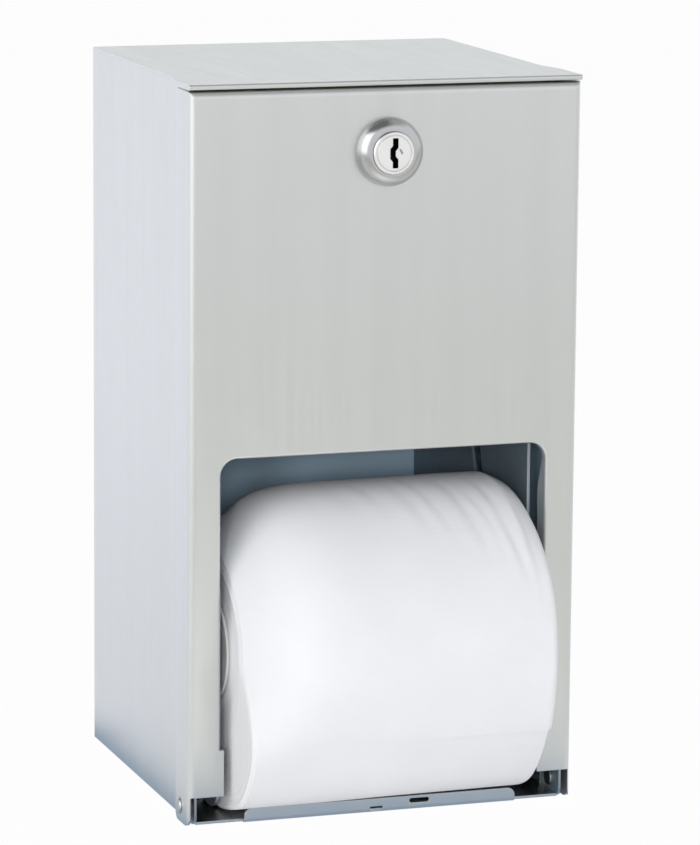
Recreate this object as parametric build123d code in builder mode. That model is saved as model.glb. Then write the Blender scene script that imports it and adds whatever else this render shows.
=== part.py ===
from build123d import *
import os
from math import cos, radians, sin

os.makedirs("parts", exist_ok=True)

# Double roll toilet paper dispenser, millimetres.
# X runs to the viewer's right, Y towards the wall, Z up. The origin is the middle of the four
# wall holes, on the cabinet's back face.
# A name that ends in _back is a distance behind the door's front face, and a name that ends in
# _level is a height above the bottom edge. Side places are distances from the middle plane.

# Rolls, which set the size of everything round them
paper_radius = 61.0
paper_width = 117.0
paper_edge_step = 0.5
free_edge_angle = -27.0
core_bore_radius = 20.0
core_wall = 1.0

# Room round the rolls
roll_front_gap = 12.5
roll_rear_gap = 10.5
roll_floor_gap = 2.5
roll_between_gap = 21.5
roll_top_gap = 11.5
roll_side_gap = 3.4
lower_roll_left_gap = 1.4

# Cabinet body: back and two sides in one folded sheet, narrower than the door
sheet = 1.0
side_inset = 3.0
overrun = 5.0
side_front_back = 2.4
body_bend = 2.0
side_toe_radius = 3.5
side_notch_gap = 1.0
wall_hole_pitch_x = 76.0
wall_hole_pitch_z = 200.0
wall_hole_radius = 2.6

# Top: a tray whose front strip is as wide as the door
wing_back = 21.0
wing_taper = 15.0
hem_thickness = 2.0
hem_back = 8.0
hem_radius = 0.9
top_flange_drop = 10.0
top_flange_bend = 1.6

# Floor: side flanges and a low front lip
floor_bend = 1.6
floor_flange_level = 12.0
floor_flange_back = 20.0
floor_shoulder_back = 4.0
lip_front_back = 1.2
lip_level = 5.5
lip_gap = 8.5
lip_corner_radius = 3.0
nick_width = 5.0
nick_level = 2.4
nick_side = -1.8
lip_slot_length = 8.0
lip_slot_width = 1.8
lip_slot_side = 15.5
lip_slot_level = 3.6

# Door: a pan with a large opening that is open at the bottom
door_sheet = 1.2
door_gap = 0.5
door_bend = 2.8
side_return = 17.0
top_return = 9.5
leg_end_level = 11.4
leg_width = 12.5
opening_over_roll = 15.0
opening_radius = 6.5
opening_edge_radius = 1.0
toe_level = 29.6
toe_step = 1.5
opening_side_flange = 8.0
opening_top_flange = 3.5
flange_taper_rise = 18.5
ear_front_radius = 5.0
ear_rear_radius = 3.0

# Pivot: a rivet through each ear, with a washer between ear and cabinet
pivot_back = 12.0
pivot_level = 6.0
rivet_radius = 2.0
running_gap = 0.05
rivet_head_radius = 3.2
rivet_head = 0.7
rivet_tail_radius = 3.5
rivet_tail = 1.2
washer_radius = 4.5
washer_gap = 0.1

# Lock
lock_drop = 26.5
bezel_radius = 13.0
bezel_rim = 0.8
bezel_height = 6.2
bezel_crown_radius = 8.9
bezel_dome_share = 0.69
barrel_radius = 9.25
barrel_back = 13.0
plug_radius = 8.0
plug_height = 7.0
plug_seat = 4.4
plug_edge = 0.35
plug_fit = 0.08
shaft_radius = 6.0
groove_radius = 6.7
groove_width = 0.5
groove_depth = 0.3
keyway_half = 5.6
keyway_width = 2.2
keyway_step = 0.5
keyway_depth = 5.0
keyway_bend_shares = (0.42, 0.22, -0.3, -0.5)
ward_length = 2.2
ward_width = 0.8
ward_depth = 0.6
ward_side = 2.7
ward_rise = 0.55
ward_turn = -60.0
lock_hole_fit = 0.25
lock_washer_radius = 13.0
lock_washer_sheet = 0.8
nut_across_flats = 24.0
nut_height = 4.0
nut_chamfer = 0.8
thread_fit = 0.05
cam_gap = 0.3
cam_sheet = 1.6
cam_reach = 19.0
cam_width = 9.0
cam_hub_radius = 7.2
tail_side = 7.4
tail_fit = 0.03
cam_screw_radius = 2.0
cam_screw_length = 9.0
cam_screw_head_radius = 4.6
cam_screw_head = 2.4

# Keeper under the top, which the cam turns up behind
keeper_sheet = 1.2
keeper_half = 12.0
keeper_front_back = 10.9
keeper_rear_back = 24.0
keeper_drop = 15.5
keeper_bend = 2.0

# Guides that carry both spindles in one pair of slots
guide_sheet = 1.2
guide_bend = 2.2
guide_front_back = 12.4
guide_toe_back = 8.5
guide_step_over_seat = 23.5
guide_step_rise = 9.0
guide_top_gap = 18.5
guide_corner_radius = 10.0
guide_flange = 9.1
guide_flange_gap = 2.0
guide_flange_low_level = 20.0
guide_foot_front_back = 30.0
guide_foot_rear_gap = 10.0
guide_rivet_side = 5.7
guide_rivet_pitch = 95.0
guide_rivet_radius = 1.6
guide_rivet_head_radius = 3.0
guide_rivet_head = 1.0

# Spindle seats and the slot that joins them
lower_seat_back = 22.0
journal_radius = 4.3
seat_gap = 0.2
drop_corner_share = 0.373
drop_radius = 80.0
entry_rise = 25.0
entry_hook = 4.0

# Spindles: a moulding on a steel axle, whose ends are the journals
spindle_end_gap = 0.5
journal_overhang = 4.4
journal_edge = 0.6
spindle_rod_radius = 6.0
spindle_rib_radius = 19.7
spindle_rib = 1.8
spindle_rib_count = 6
spindle_disc = 2.0
spindle_disc_count = 4

# Catches that hold the reserve roll's spindle up, on pins behind each guide
catch_pin_side = 2.9
catch_pin_drop = 22.0
catch_pin_radius = 1.5
catch_pin_head_radius = 2.2
catch_pin_head = 0.6
ear_sheet = 1.2
ear_spread = 13.5
ear_half_height = 5.0
ear_reach = 8.1
ear_radius = 3.0
ear_window = 6.9
catch_sheet = 1.2
catch_plate_side = 3.3
catch_barrel_radius = 2.5
catch_end_gap = 0.4
catch_below_pin = 2.8
catch_front_gap = 1.2
catch_nose_length = 11.0
catch_nose_side = 1.5
catch_nose_gap = 0.3
catch_stop_behind = 8.0
catch_stop_length = 3.5
catch_stop_rise = 11.0
catch_stop_gap = 0.1
catch_arm_set_back = 1.6
catch_arm_rise = 6.5
catch_arm_height = 6.5
catch_tab_width = 4.2
catch_corner_radius = 2.0

# Torsion springs round the catch pins
wire = 0.9
coil_bore_radius = 1.7
coil_pitch = 1.35
coil_half_turns = 9
coil_set_forward = 0.3
coil_room = 0.7


# Sizes that follow from the ones above
guide_half = paper_width / 2 + roll_side_gap
guide_outer_half = guide_half + guide_sheet
body_inner_half = guide_half + guide_flange + guide_flange_gap
body_half = body_inner_half + sheet
width = 2 * (body_half + side_inset)
upper_seat_back = roll_front_gap + paper_radius
depth = upper_seat_back + paper_radius + roll_rear_gap + sheet
lower_seat_level = sheet + roll_floor_gap + paper_radius
upper_seat_level = lower_seat_level + 2 * paper_radius + roll_between_gap
height = upper_seat_level + paper_radius + roll_top_gap
door_top_level = height - hem_thickness - door_gap
lock_level = height - lock_drop
opening_half = width / 2 - leg_width
opening_level = lower_seat_level + paper_radius + opening_over_roll
toe_half = opening_half - toe_step
lip_half = toe_half - lip_gap
slot_width = 2 * (journal_radius + seat_gap)
spindle_half = guide_half - spindle_end_gap
journal_half = guide_outer_half + journal_overhang
lower_roll_side = lower_roll_left_gap - roll_side_gap
guide_step_level = lower_seat_level + guide_step_over_seat
guide_top_level = height - guide_top_gap
guide_rivet_half = guide_half + guide_rivet_side
drop_corner_level = lower_seat_level + drop_corner_share * (upper_seat_level - lower_seat_level)
catch_pin_half = guide_outer_half + catch_pin_side
catch_pin_level = upper_seat_level - catch_pin_drop
catch_inner_half = guide_outer_half + catch_plate_side
catch_outer_half = catch_inner_half + catch_sheet
catch_low_level = catch_pin_level - catch_below_pin
catch_arm_low_level = catch_pin_level + catch_arm_rise
catch_arm_high_level = catch_arm_low_level + catch_arm_height
catch_nose_level = upper_seat_level - journal_radius - catch_nose_gap
front_ear_back = upper_seat_back - ear_spread
rear_ear_back = upper_seat_back + ear_spread
coil_front_back = upper_seat_back - coil_set_forward
coil_rear_back = coil_front_back + coil_half_turns * coil_pitch / 2


def up(level):
    """Z of a height above the bottom edge."""
    return level - height / 2


def inward(distance):
    """Y of a distance behind the door's front face."""
    return distance - depth


def facing(distance):
    """Plane that faces the viewer, a distance behind the door's front face."""
    return Plane.XZ.offset(-inward(distance))


pivot_spot = (inward(pivot_back), up(pivot_level))
upper_spot = (inward(upper_seat_back), up(upper_seat_level))
lower_spot = (inward(lower_seat_back), up(lower_seat_level))
lock_axis = Axis((0, 0, up(lock_level)), (0, 1, 0))


# Cabinet body
with BuildPart() as cabinet_body:
    with BuildSketch(Plane.XY.offset(up(0))):
        with BuildLine():
            FilletPolyline(
                (-body_half, inward(side_front_back)),
                (-body_half, 0),
                (body_half, 0),
                (body_half, inward(side_front_back)),
                radius=body_bend,
            )
            offset(amount=sheet, side=Side.RIGHT)
        make_face()
    extrude(amount=height - sheet)
    toe_edges = cabinet_body.edges().filter_by(Axis.X).group_by(Axis.Z)[0].group_by(Axis.Y)[0]
    fillet(toe_edges, radius=side_toe_radius)
    # The sides step back for the hem and for the door's top return
    with BuildSketch(Plane.YZ):
        with Locations((inward(top_return + side_notch_gap), up(height))):
            Rectangle(
                top_return + side_notch_gap,
                height - door_top_level + door_sheet + side_notch_gap,
                align=(Align.MAX, Align.MAX),
            )
    extrude(amount=width, both=True, mode=Mode.SUBTRACT)
    with BuildSketch(Plane.XZ):
        with GridLocations(wall_hole_pitch_x, wall_hole_pitch_z, 2, 2):
            Circle(wall_hole_radius)
        with GridLocations(2 * guide_rivet_half, guide_rivet_pitch, 2, 3):
            Circle(guide_rivet_radius)
    extrude(amount=sheet + overrun, mode=Mode.SUBTRACT)
    with BuildSketch(Plane.YZ):
        with Locations(pivot_spot):
            Circle(rivet_radius)
    extrude(amount=width, both=True, mode=Mode.SUBTRACT)


# Top: the outline in plan, a rounded hem along the front and flanges inside the cabinet
with BuildPart() as cabinet_top:
    with BuildSketch(Plane.XY.offset(up(height - sheet))):
        with BuildLine():
            Polyline(
                (0, inward(0)),
                (width / 2, inward(0)),
                (width / 2, inward(wing_back)),
                (body_half, inward(wing_back + wing_taper)),
                (body_half, 0),
                (0, 0),
            )
            mirror(about=Plane.YZ)
        make_face()
        top_rear_corners = vertices().group_by(Axis.Y)[-1]
        fillet(top_rear_corners, radius=body_bend)
    extrude(amount=sheet)
    with BuildSketch(Plane.XY.offset(up(height - hem_thickness))):
        with Locations((0, inward(hem_back / 2))):
            Rectangle(width, hem_back)
    extrude(amount=hem_thickness)
    hem_edges = cabinet_top.edges().filter_by(Axis.X).group_by(Axis.Y)[0]
    fillet(hem_edges, radius=hem_radius)
    with BuildSketch(Plane.XY.offset(up(height - sheet - top_flange_drop))):
        with BuildLine():
            FilletPolyline(
                (-body_inner_half, inward(wing_back + wing_taper)),
                (-body_inner_half, -sheet),
                (body_inner_half, -sheet),
                (body_inner_half, inward(wing_back + wing_taper)),
                radius=top_flange_bend,
            )
            offset(amount=sheet, side=Side.RIGHT)
        make_face()
    extrude(amount=top_flange_drop)


# Floor: a folded tray with a lip under the roll
with BuildPart() as cabinet_floor:
    with BuildSketch(facing(floor_flange_back)):
        with BuildLine():
            FilletPolyline(
                (-body_inner_half, up(floor_flange_level)),
                (-body_inner_half, up(0)),
                (body_inner_half, up(0)),
                (body_inner_half, up(floor_flange_level)),
                radius=floor_bend,
            )
            offset(amount=sheet, side=Side.LEFT)
        make_face()
    extrude(amount=-(depth - body_bend - floor_flange_back))
    with BuildSketch(Plane.XY.offset(up(0))):
        with Locations((0, inward((floor_shoulder_back + floor_flange_back) / 2))):
            Rectangle(2 * body_inner_half, floor_flange_back - floor_shoulder_back)
    extrude(amount=sheet)
    with BuildSketch(Plane.YZ):
        with BuildLine():
            FilletPolyline(
                (inward(lip_front_back), up(lip_level)),
                (inward(lip_front_back), up(0)),
                (inward(floor_flange_back), up(0)),
                radius=floor_bend,
            )
            offset(amount=sheet, side=Side.LEFT)
        make_face()
    extrude(amount=lip_half, both=True)
    lip_corners = cabinet_floor.edges().filter_by(Axis.Y).group_by(Axis.Y)[0].group_by(Axis.Z)[-1]
    fillet(lip_corners, radius=lip_corner_radius)
    with BuildSketch(facing(0)):
        with Locations((nick_side, up(nick_level / 2))):
            Rectangle(nick_width, nick_level)
        with Locations((lip_slot_side, up(lip_slot_level))):
            SlotOverall(lip_slot_length, lip_slot_width)
    extrude(amount=-(lip_front_back + sheet), mode=Mode.SUBTRACT)


# Door: a pan whose side returns end in hinge ears, with a flanged opening
with BuildPart() as door_panel:
    with BuildSketch(facing(side_return)):
        with Locations((0, up(door_top_level / 2))):
            Rectangle(width, door_top_level)
    extrude(amount=side_return)
    door_front = door_panel.faces().sort_by(Axis.Y)[0]
    fillet(door_front.edges().sort_by(Axis.Z)[1:], radius=door_bend)
    door_back = door_panel.faces().sort_by(Axis.Y)[-1]
    door_bottom = door_panel.faces().sort_by(Axis.Z)[0]
    offset(amount=-door_sheet, openings=[door_back, door_bottom])
    # The top return is shallower than the sides
    with BuildSketch(Plane.YZ):
        with Locations((inward(top_return), up(door_top_level - door_bend))):
            Rectangle(side_return, 2 * door_bend, align=(Align.MIN, Align.MIN))
    extrude(amount=width / 2 - door_sheet, both=True, mode=Mode.SUBTRACT)
    # Flange round the opening, shallow above the roll and deep down the sides
    with BuildSketch(facing(0)) as flange_sketch:
        with Locations((0, up(toe_level))):
            Rectangle(
                2 * (opening_half + door_sheet),
                opening_level + door_sheet - toe_level,
                align=(Align.CENTER, Align.MIN),
            )
        fillet(flange_sketch.vertices().group_by(Axis.Y)[-1], radius=opening_radius + door_sheet)
    extrude(amount=-opening_side_flange)
    with BuildSketch(facing(0)) as opening_sketch:
        with Locations((0, up(toe_level))):
            Rectangle(2 * opening_half, opening_level - toe_level, align=(Align.CENTER, Align.MIN))
        fillet(opening_sketch.vertices().group_by(Axis.Y)[-1], radius=opening_radius)
        with Locations((0, up(0))):
            Rectangle(2 * toe_half, toe_level, align=(Align.CENTER, Align.MIN))
    extrude(amount=-side_return, mode=Mode.SUBTRACT)
    with BuildSketch(Plane.YZ):
        with BuildLine():
            Polyline(
                (inward(opening_side_flange), up(opening_level - flange_taper_rise)),
                (inward(opening_top_flange), up(opening_level - opening_radius)),
                (inward(opening_top_flange), up(opening_level + opening_radius)),
                (inward(opening_side_flange), up(opening_level + opening_radius)),
                close=True,
            )
        make_face()
    extrude(amount=opening_half + 2 * door_sheet, both=True, mode=Mode.SUBTRACT)
    opening_edges = (
        door_panel.faces()
        .sort_by(Axis.Y)[0]
        .edges()
        .filter_by_position(Axis.X, -opening_half, opening_half)
        .filter_by_position(Axis.Z, up(toe_level), up(opening_level))
    )
    fillet(opening_edges, radius=opening_edge_radius)
    # Below the legs only the ears are left
    with BuildSketch(Plane.XY.offset(up(0))):
        with Locations((0, inward(side_return / 2))):
            Rectangle(width - 2 * door_sheet, side_return)
    extrude(amount=leg_end_level, mode=Mode.SUBTRACT)
    with BuildSketch(Plane.YZ):
        with Locations((inward(0), up(0))):
            Rectangle(ear_front_radius, ear_front_radius, align=(Align.MIN, Align.MIN))
        with Locations((inward(ear_front_radius), up(ear_front_radius))):
            Circle(ear_front_radius, mode=Mode.SUBTRACT)
    extrude(amount=width, both=True, mode=Mode.SUBTRACT)
    with BuildSketch(Plane.YZ):
        with Locations((inward(side_return), up(0))):
            Rectangle(ear_rear_radius, ear_rear_radius, align=(Align.MAX, Align.MIN))
        with Locations((inward(side_return - ear_rear_radius), up(ear_rear_radius))):
            Circle(ear_rear_radius, mode=Mode.SUBTRACT)
    extrude(amount=width, both=True, mode=Mode.SUBTRACT)
    with BuildSketch(Plane.YZ):
        with Locations(pivot_spot):
            Circle(rivet_radius + running_gap)
    extrude(amount=width, both=True, mode=Mode.SUBTRACT)
    with BuildSketch(facing(0)):
        with Locations((0, up(lock_level))):
            Circle(barrel_radius + lock_hole_fit)
    extrude(amount=-side_return, mode=Mode.SUBTRACT)


# Pivot rivets and washers
with BuildPart() as pivot_rivets:
    with BuildSketch(Plane.YZ.offset(body_inner_half)):
        with Locations(pivot_spot):
            Circle(rivet_radius)
    extrude(amount=width / 2 + washer_gap - body_inner_half)
    with BuildSketch(Plane.YZ.offset(width / 2 + washer_gap)):
        with Locations(pivot_spot):
            Circle(rivet_head_radius)
    extrude(amount=rivet_head, taper=30)
    with BuildSketch(Plane.YZ.offset(body_inner_half)):
        with Locations(pivot_spot):
            Circle(rivet_tail_radius)
    extrude(amount=-rivet_tail)
    fillet(pivot_rivets.edges().sort_by(Axis.X)[0], radius=rivet_tail / 2)
    mirror(about=Plane.YZ)

with BuildPart() as pivot_washers:
    with BuildSketch(Plane.YZ.offset(body_half + washer_gap)):
        with Locations(pivot_spot):
            Circle(washer_radius)
            Circle(rivet_radius + running_gap, mode=Mode.SUBTRACT)
    extrude(amount=side_inset - door_sheet - 2 * washer_gap)
    mirror(about=Plane.YZ)


# Lock: turned bezel with its barrel, and the plug with keyway
with BuildPart() as lock_housing:
    with BuildSketch(Plane.YZ):
        with BuildLine():
            rim = (inward(-bezel_rim), up(lock_level) + bezel_radius)
            crown = (inward(-bezel_height), up(lock_level) + bezel_crown_radius)
            shoulder = (
                inward(-bezel_rim - (bezel_height - bezel_rim) * bezel_dome_share),
                up(lock_level) + bezel_crown_radius + (bezel_radius - bezel_crown_radius) * bezel_dome_share,
            )
            ThreePointArc(rim, shoulder, crown)
            Polyline(
                crown,
                (inward(-bezel_height), up(lock_level) + plug_radius + plug_fit),
                (inward(-plug_seat), up(lock_level) + plug_radius + plug_fit),
                (inward(-plug_seat), up(lock_level) + shaft_radius + running_gap),
                (inward(barrel_back), up(lock_level) + shaft_radius + running_gap),
                (inward(barrel_back), up(lock_level) + barrel_radius),
                (inward(0), up(lock_level) + barrel_radius),
                (inward(0), up(lock_level) + bezel_radius),
                rim,
            )
        make_face()
    revolve(axis=lock_axis)

with BuildPart() as lock_plug:
    with BuildSketch(Plane.YZ):
        with BuildLine():
            Polyline(
                (inward(-plug_height), up(lock_level)),
                (inward(-plug_height), up(lock_level) + plug_radius - plug_edge),
                (inward(-plug_height + plug_edge), up(lock_level) + plug_radius),
                (inward(-plug_seat - washer_gap), up(lock_level) + plug_radius),
                (inward(-plug_seat - washer_gap), up(lock_level) + shaft_radius),
                (inward(barrel_back + cam_gap), up(lock_level) + shaft_radius),
                (inward(barrel_back + cam_gap), up(lock_level)),
                close=True,
            )
        make_face()
    revolve(axis=lock_axis)
    with BuildSketch(facing(barrel_back + cam_gap)):
        with Locations((0, up(lock_level))):
            Rectangle(tail_side, tail_side)
    extrude(amount=-cam_sheet)
    with BuildSketch(facing(-plug_height)):
        with Locations((0, up(lock_level))):
            Circle(groove_radius + groove_width / 2)
            Circle(groove_radius - groove_width / 2, mode=Mode.SUBTRACT)
    extrude(amount=-groove_depth, mode=Mode.SUBTRACT)
    with BuildSketch(facing(-plug_height)):
        with BuildLine():
            high_share, upper_share, lower_share, low_share = keyway_bend_shares
            Polyline(
                (keyway_step, up(lock_level) + keyway_half),
                (keyway_step, up(lock_level) + keyway_half * high_share),
                (-keyway_step, up(lock_level) + keyway_half * upper_share),
                (-keyway_step, up(lock_level) + keyway_half * lower_share),
                (keyway_step, up(lock_level) + keyway_half * low_share),
                (keyway_step, up(lock_level) - keyway_half),
            )
        trace(line_width=keyway_width)
    extrude(amount=-keyway_depth, mode=Mode.SUBTRACT)
    with BuildSketch(facing(-plug_height)):
        with Locations((ward_side, up(lock_level) + ward_rise)):
            SlotOverall(ward_length, ward_width, rotation=ward_turn)
    extrude(amount=-ward_depth, mode=Mode.SUBTRACT)
    with BuildSketch(facing(barrel_back + cam_gap + cam_sheet)):
        with Locations((0, up(lock_level))):
            Circle(cam_screw_radius)
    extrude(amount=cam_screw_length, mode=Mode.SUBTRACT)

with BuildPart() as lock_washer:
    with BuildSketch(facing(door_sheet)):
        with Locations((0, up(lock_level))):
            Circle(lock_washer_radius)
            Circle(barrel_radius + thread_fit, mode=Mode.SUBTRACT)
    extrude(amount=-lock_washer_sheet)

with BuildPart() as lock_nut:
    with BuildSketch(facing(door_sheet + lock_washer_sheet)):
        with Locations((0, up(lock_level))):
            RegularPolygon(nut_across_flats / 2, 6, major_radius=False)
            Circle(barrel_radius + thread_fit, mode=Mode.SUBTRACT)
    extrude(amount=-nut_height)
    nut_rim = lock_nut.faces().sort_by(Axis.Y)[-1].outer_wire().edges()
    chamfer(nut_rim, length=nut_chamfer)

with BuildPart() as lock_cam:
    with BuildSketch(facing(barrel_back + cam_gap)):
        with Locations((0, up(lock_level))):
            Circle(cam_hub_radius)
            Rectangle(cam_reach - cam_width / 2, cam_width, align=(Align.MIN, Align.CENTER))
        with Locations((cam_reach - cam_width / 2, up(lock_level))):
            Circle(cam_width / 2)
        with Locations((0, up(lock_level))):
            Rectangle(tail_side + 2 * tail_fit, tail_side + 2 * tail_fit, mode=Mode.SUBTRACT)
    extrude(amount=-cam_sheet)

with BuildPart() as cam_screw:
    with BuildSketch(facing(barrel_back + cam_gap + cam_sheet)):
        with Locations((0, up(lock_level))):
            Circle(cam_screw_radius)
    extrude(amount=cam_screw_length)
    with BuildSketch(facing(barrel_back + cam_gap + cam_sheet)):
        with Locations((0, up(lock_level))):
            Circle(cam_screw_head_radius)
    extrude(amount=-cam_screw_head)
    fillet(cam_screw.edges().sort_by(Axis.Y)[-1], radius=cam_screw_head / 2)

with BuildPart() as lock_keeper:
    with BuildSketch(Plane.YZ):
        with BuildLine():
            FilletPolyline(
                (inward(keeper_front_back), up(height - keeper_drop)),
                (inward(keeper_front_back), up(height - sheet)),
                (inward(keeper_rear_back), up(height - sheet)),
                radius=keeper_bend,
            )
            offset(amount=keeper_sheet, side=Side.RIGHT)
        make_face()
    extrude(amount=keeper_half, both=True)


# Right guide: a web with the long slot, flanges to the back and the floor, and two ears
with BuildPart() as right_guide:
    with BuildSketch(Plane.YZ.offset(guide_half)) as web:
        with BuildLine():
            Polyline(
                (inward(guide_toe_back), up(sheet + guide_bend)),
                (inward(guide_toe_back), up(guide_step_level)),
                (inward(guide_front_back), up(guide_step_level + guide_step_rise)),
                (inward(guide_front_back), up(guide_top_level)),
                (-sheet - guide_bend, up(guide_top_level)),
                (-sheet - guide_bend, up(sheet + guide_bend)),
                close=True,
            )
        make_face()
        fillet(web.vertices().group_by(Axis.Y)[-1].sort_by(Axis.X)[0], radius=guide_corner_radius)
        fillet(web.vertices().group_by(Axis.Y)[0].sort_by(Axis.X)[0], radius=guide_corner_radius)
    extrude(amount=guide_sheet)
    with BuildLine() as drop_line:
        FilletPolyline(
            upper_spot,
            (inward(upper_seat_back), up(drop_corner_level)),
            lower_spot,
            radius=drop_radius,
        )
    with BuildLine() as entry_line:
        Polyline(
            (inward(guide_front_back) - slot_width, up(upper_seat_level + entry_rise)),
            (inward(upper_seat_back), up(upper_seat_level + entry_hook)),
            upper_spot,
        )
    with BuildSketch(Plane.YZ.offset(guide_half)):
        SlotArc(drop_line.wire(), slot_width)
        SlotArc(entry_line.wire(), slot_width)
    extrude(amount=guide_sheet, mode=Mode.SUBTRACT)
    with BuildSketch(Plane.XY.offset(up(guide_flange_low_level))):
        with BuildLine():
            FilletPolyline(
                (guide_half, -sheet - 2 * guide_bend),
                (guide_half, -sheet),
                (guide_half + guide_flange, -sheet),
                radius=guide_bend,
            )
            offset(amount=guide_sheet, side=Side.RIGHT)
        make_face()
    extrude(amount=guide_top_level - guide_flange_low_level)
    with BuildSketch(facing(guide_foot_front_back)):
        with BuildLine():
            FilletPolyline(
                (guide_half, up(sheet + 2 * guide_bend)),
                (guide_half, up(sheet)),
                (guide_half + guide_flange, up(sheet)),
                radius=guide_bend,
            )
            offset(amount=guide_sheet, side=Side.LEFT)
        make_face()
    extrude(amount=-(depth - guide_foot_rear_gap - guide_foot_front_back))
    with BuildSketch(Plane.XZ):
        with GridLocations(2 * guide_rivet_half, guide_rivet_pitch, 2, 3):
            Circle(guide_rivet_radius)
    extrude(amount=sheet + guide_sheet + overrun, mode=Mode.SUBTRACT)
    # Ears for the catch pin, each bent out of its own window in the web
    for ear_back in (front_ear_back, rear_ear_back):
        with BuildSketch(facing(ear_back)) as ear:
            with Locations((guide_half, up(catch_pin_level))):
                Rectangle(ear_reach, 2 * ear_half_height, align=(Align.MIN, Align.CENTER))
            fillet(ear.vertices().group_by(Axis.X)[-1], radius=ear_radius)
            with Locations((catch_pin_half, up(catch_pin_level))):
                Circle(catch_pin_radius, mode=Mode.SUBTRACT)
        extrude(amount=-ear_sheet)
    with BuildSketch(Plane.YZ.offset(guide_half)):
        with Locations((inward(front_ear_back), up(catch_pin_level))):
            Rectangle(ear_window, 2 * ear_half_height, align=(Align.MAX, Align.CENTER))
        with Locations((inward(rear_ear_back + ear_sheet), up(catch_pin_level))):
            Rectangle(ear_window, 2 * ear_half_height, align=(Align.MIN, Align.CENTER))
    extrude(amount=guide_sheet, mode=Mode.SUBTRACT)

with BuildPart() as left_guide:
    mirror(right_guide.part, about=Plane.YZ)

with BuildPart() as guide_rivets:
    with BuildSketch(Plane.XZ):
        with GridLocations(2 * guide_rivet_half, guide_rivet_pitch, 2, 3):
            Circle(guide_rivet_radius)
    extrude(amount=sheet + guide_sheet)
    with BuildSketch(Plane.XZ.offset(sheet + guide_sheet)):
        with GridLocations(2 * guide_rivet_half, guide_rivet_pitch, 2, 3):
            Circle(guide_rivet_head_radius)
    extrude(amount=guide_rivet_head, taper=40)


# Right catch: a pressed plate that swings outwards from under the reserve spindle
catch_barrels = (
    (front_ear_back + ear_sheet + catch_end_gap, coil_front_back - coil_room),
    (coil_rear_back + coil_room, rear_ear_back - catch_end_gap),
)
with BuildPart() as right_catch:
    plate_front_back = front_ear_back + ear_sheet + catch_front_gap
    plate_rear_back = rear_ear_back - catch_front_gap
    catch_arm_front_back = guide_front_back + catch_arm_set_back
    with BuildSketch(Plane.YZ.offset(catch_inner_half)) as plate:
        with BuildLine():
            Polyline(
                (inward(plate_front_back), up(catch_low_level)),
                (inward(plate_rear_back), up(catch_low_level)),
                (inward(plate_rear_back), up(catch_nose_level)),
                (inward(plate_front_back), up(catch_nose_level)),
                close=True,
            )
        make_face()
        with Locations((inward(catch_arm_front_back), up(catch_arm_low_level))):
            Rectangle(
                plate_front_back - catch_arm_front_back,
                catch_arm_height,
                align=(Align.MIN, Align.MIN),
            )
        fillet(plate.vertices().group_by(Axis.X)[0], radius=catch_corner_radius)
        fillet(plate.vertices().group_by(Axis.Y)[-1], radius=catch_corner_radius)
        with Locations((inward(catch_barrels[0][1]), up(catch_low_level))):
            Rectangle(
                catch_barrels[1][0] - catch_barrels[0][1],
                catch_arm_low_level - catch_low_level,
                align=(Align.MIN, Align.MIN),
                mode=Mode.SUBTRACT,
            )
    extrude(amount=catch_sheet)
    with BuildSketch(facing(upper_seat_back - catch_nose_length / 2)):
        with Locations((guide_outer_half + catch_nose_side, up(catch_nose_level))):
            Rectangle(
                catch_outer_half - guide_outer_half - catch_nose_side,
                catch_sheet,
                align=(Align.MIN, Align.MAX),
            )
    extrude(amount=-catch_nose_length)
    with BuildSketch(facing(upper_seat_back + catch_stop_behind)):
        with Locations((guide_outer_half + catch_stop_gap, up(catch_pin_level + catch_stop_rise))):
            Rectangle(
                catch_outer_half - guide_outer_half - catch_stop_gap,
                catch_sheet,
                align=(Align.MIN, Align.MAX),
            )
    extrude(amount=-catch_stop_length)
    # Finger tab at the front of the arm
    with BuildSketch(facing(catch_arm_front_back + catch_corner_radius)):
        with Locations((catch_outer_half, up(catch_arm_high_level))):
            Rectangle(catch_tab_width, catch_sheet, align=(Align.MAX, Align.MAX))
    extrude(amount=-catch_nose_length)
    for barrel_start, barrel_end in catch_barrels:
        with BuildSketch(facing(barrel_start)):
            with Locations((catch_pin_half, up(catch_pin_level))):
                Circle(catch_barrel_radius)
        extrude(amount=-(barrel_end - barrel_start))
    with BuildSketch(facing(front_ear_back)):
        with Locations((catch_pin_half, up(catch_pin_level))):
            Circle(catch_pin_radius + running_gap)
    extrude(amount=-(rear_ear_back - front_ear_back), mode=Mode.SUBTRACT)

with BuildPart() as left_catch:
    mirror(right_catch.part, about=Plane.YZ)

with BuildPart() as catch_pins:
    pin_rear_back = rear_ear_back + ear_sheet
    with BuildSketch(facing(front_ear_back)):
        with Locations((catch_pin_half, up(catch_pin_level))):
            Circle(catch_pin_radius)
    extrude(amount=-(pin_rear_back - front_ear_back))
    with BuildSketch(facing(front_ear_back), facing(pin_rear_back + catch_pin_head)):
        with Locations((catch_pin_half, up(catch_pin_level))):
            Circle(catch_pin_head_radius)
    extrude(amount=catch_pin_head)
    mirror(about=Plane.YZ)


def spring_point(side, distance, level):
    """Point on the spring's centre line: side place, distance behind the front, height."""
    return Vector(side, inward(distance), up(level))


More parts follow.
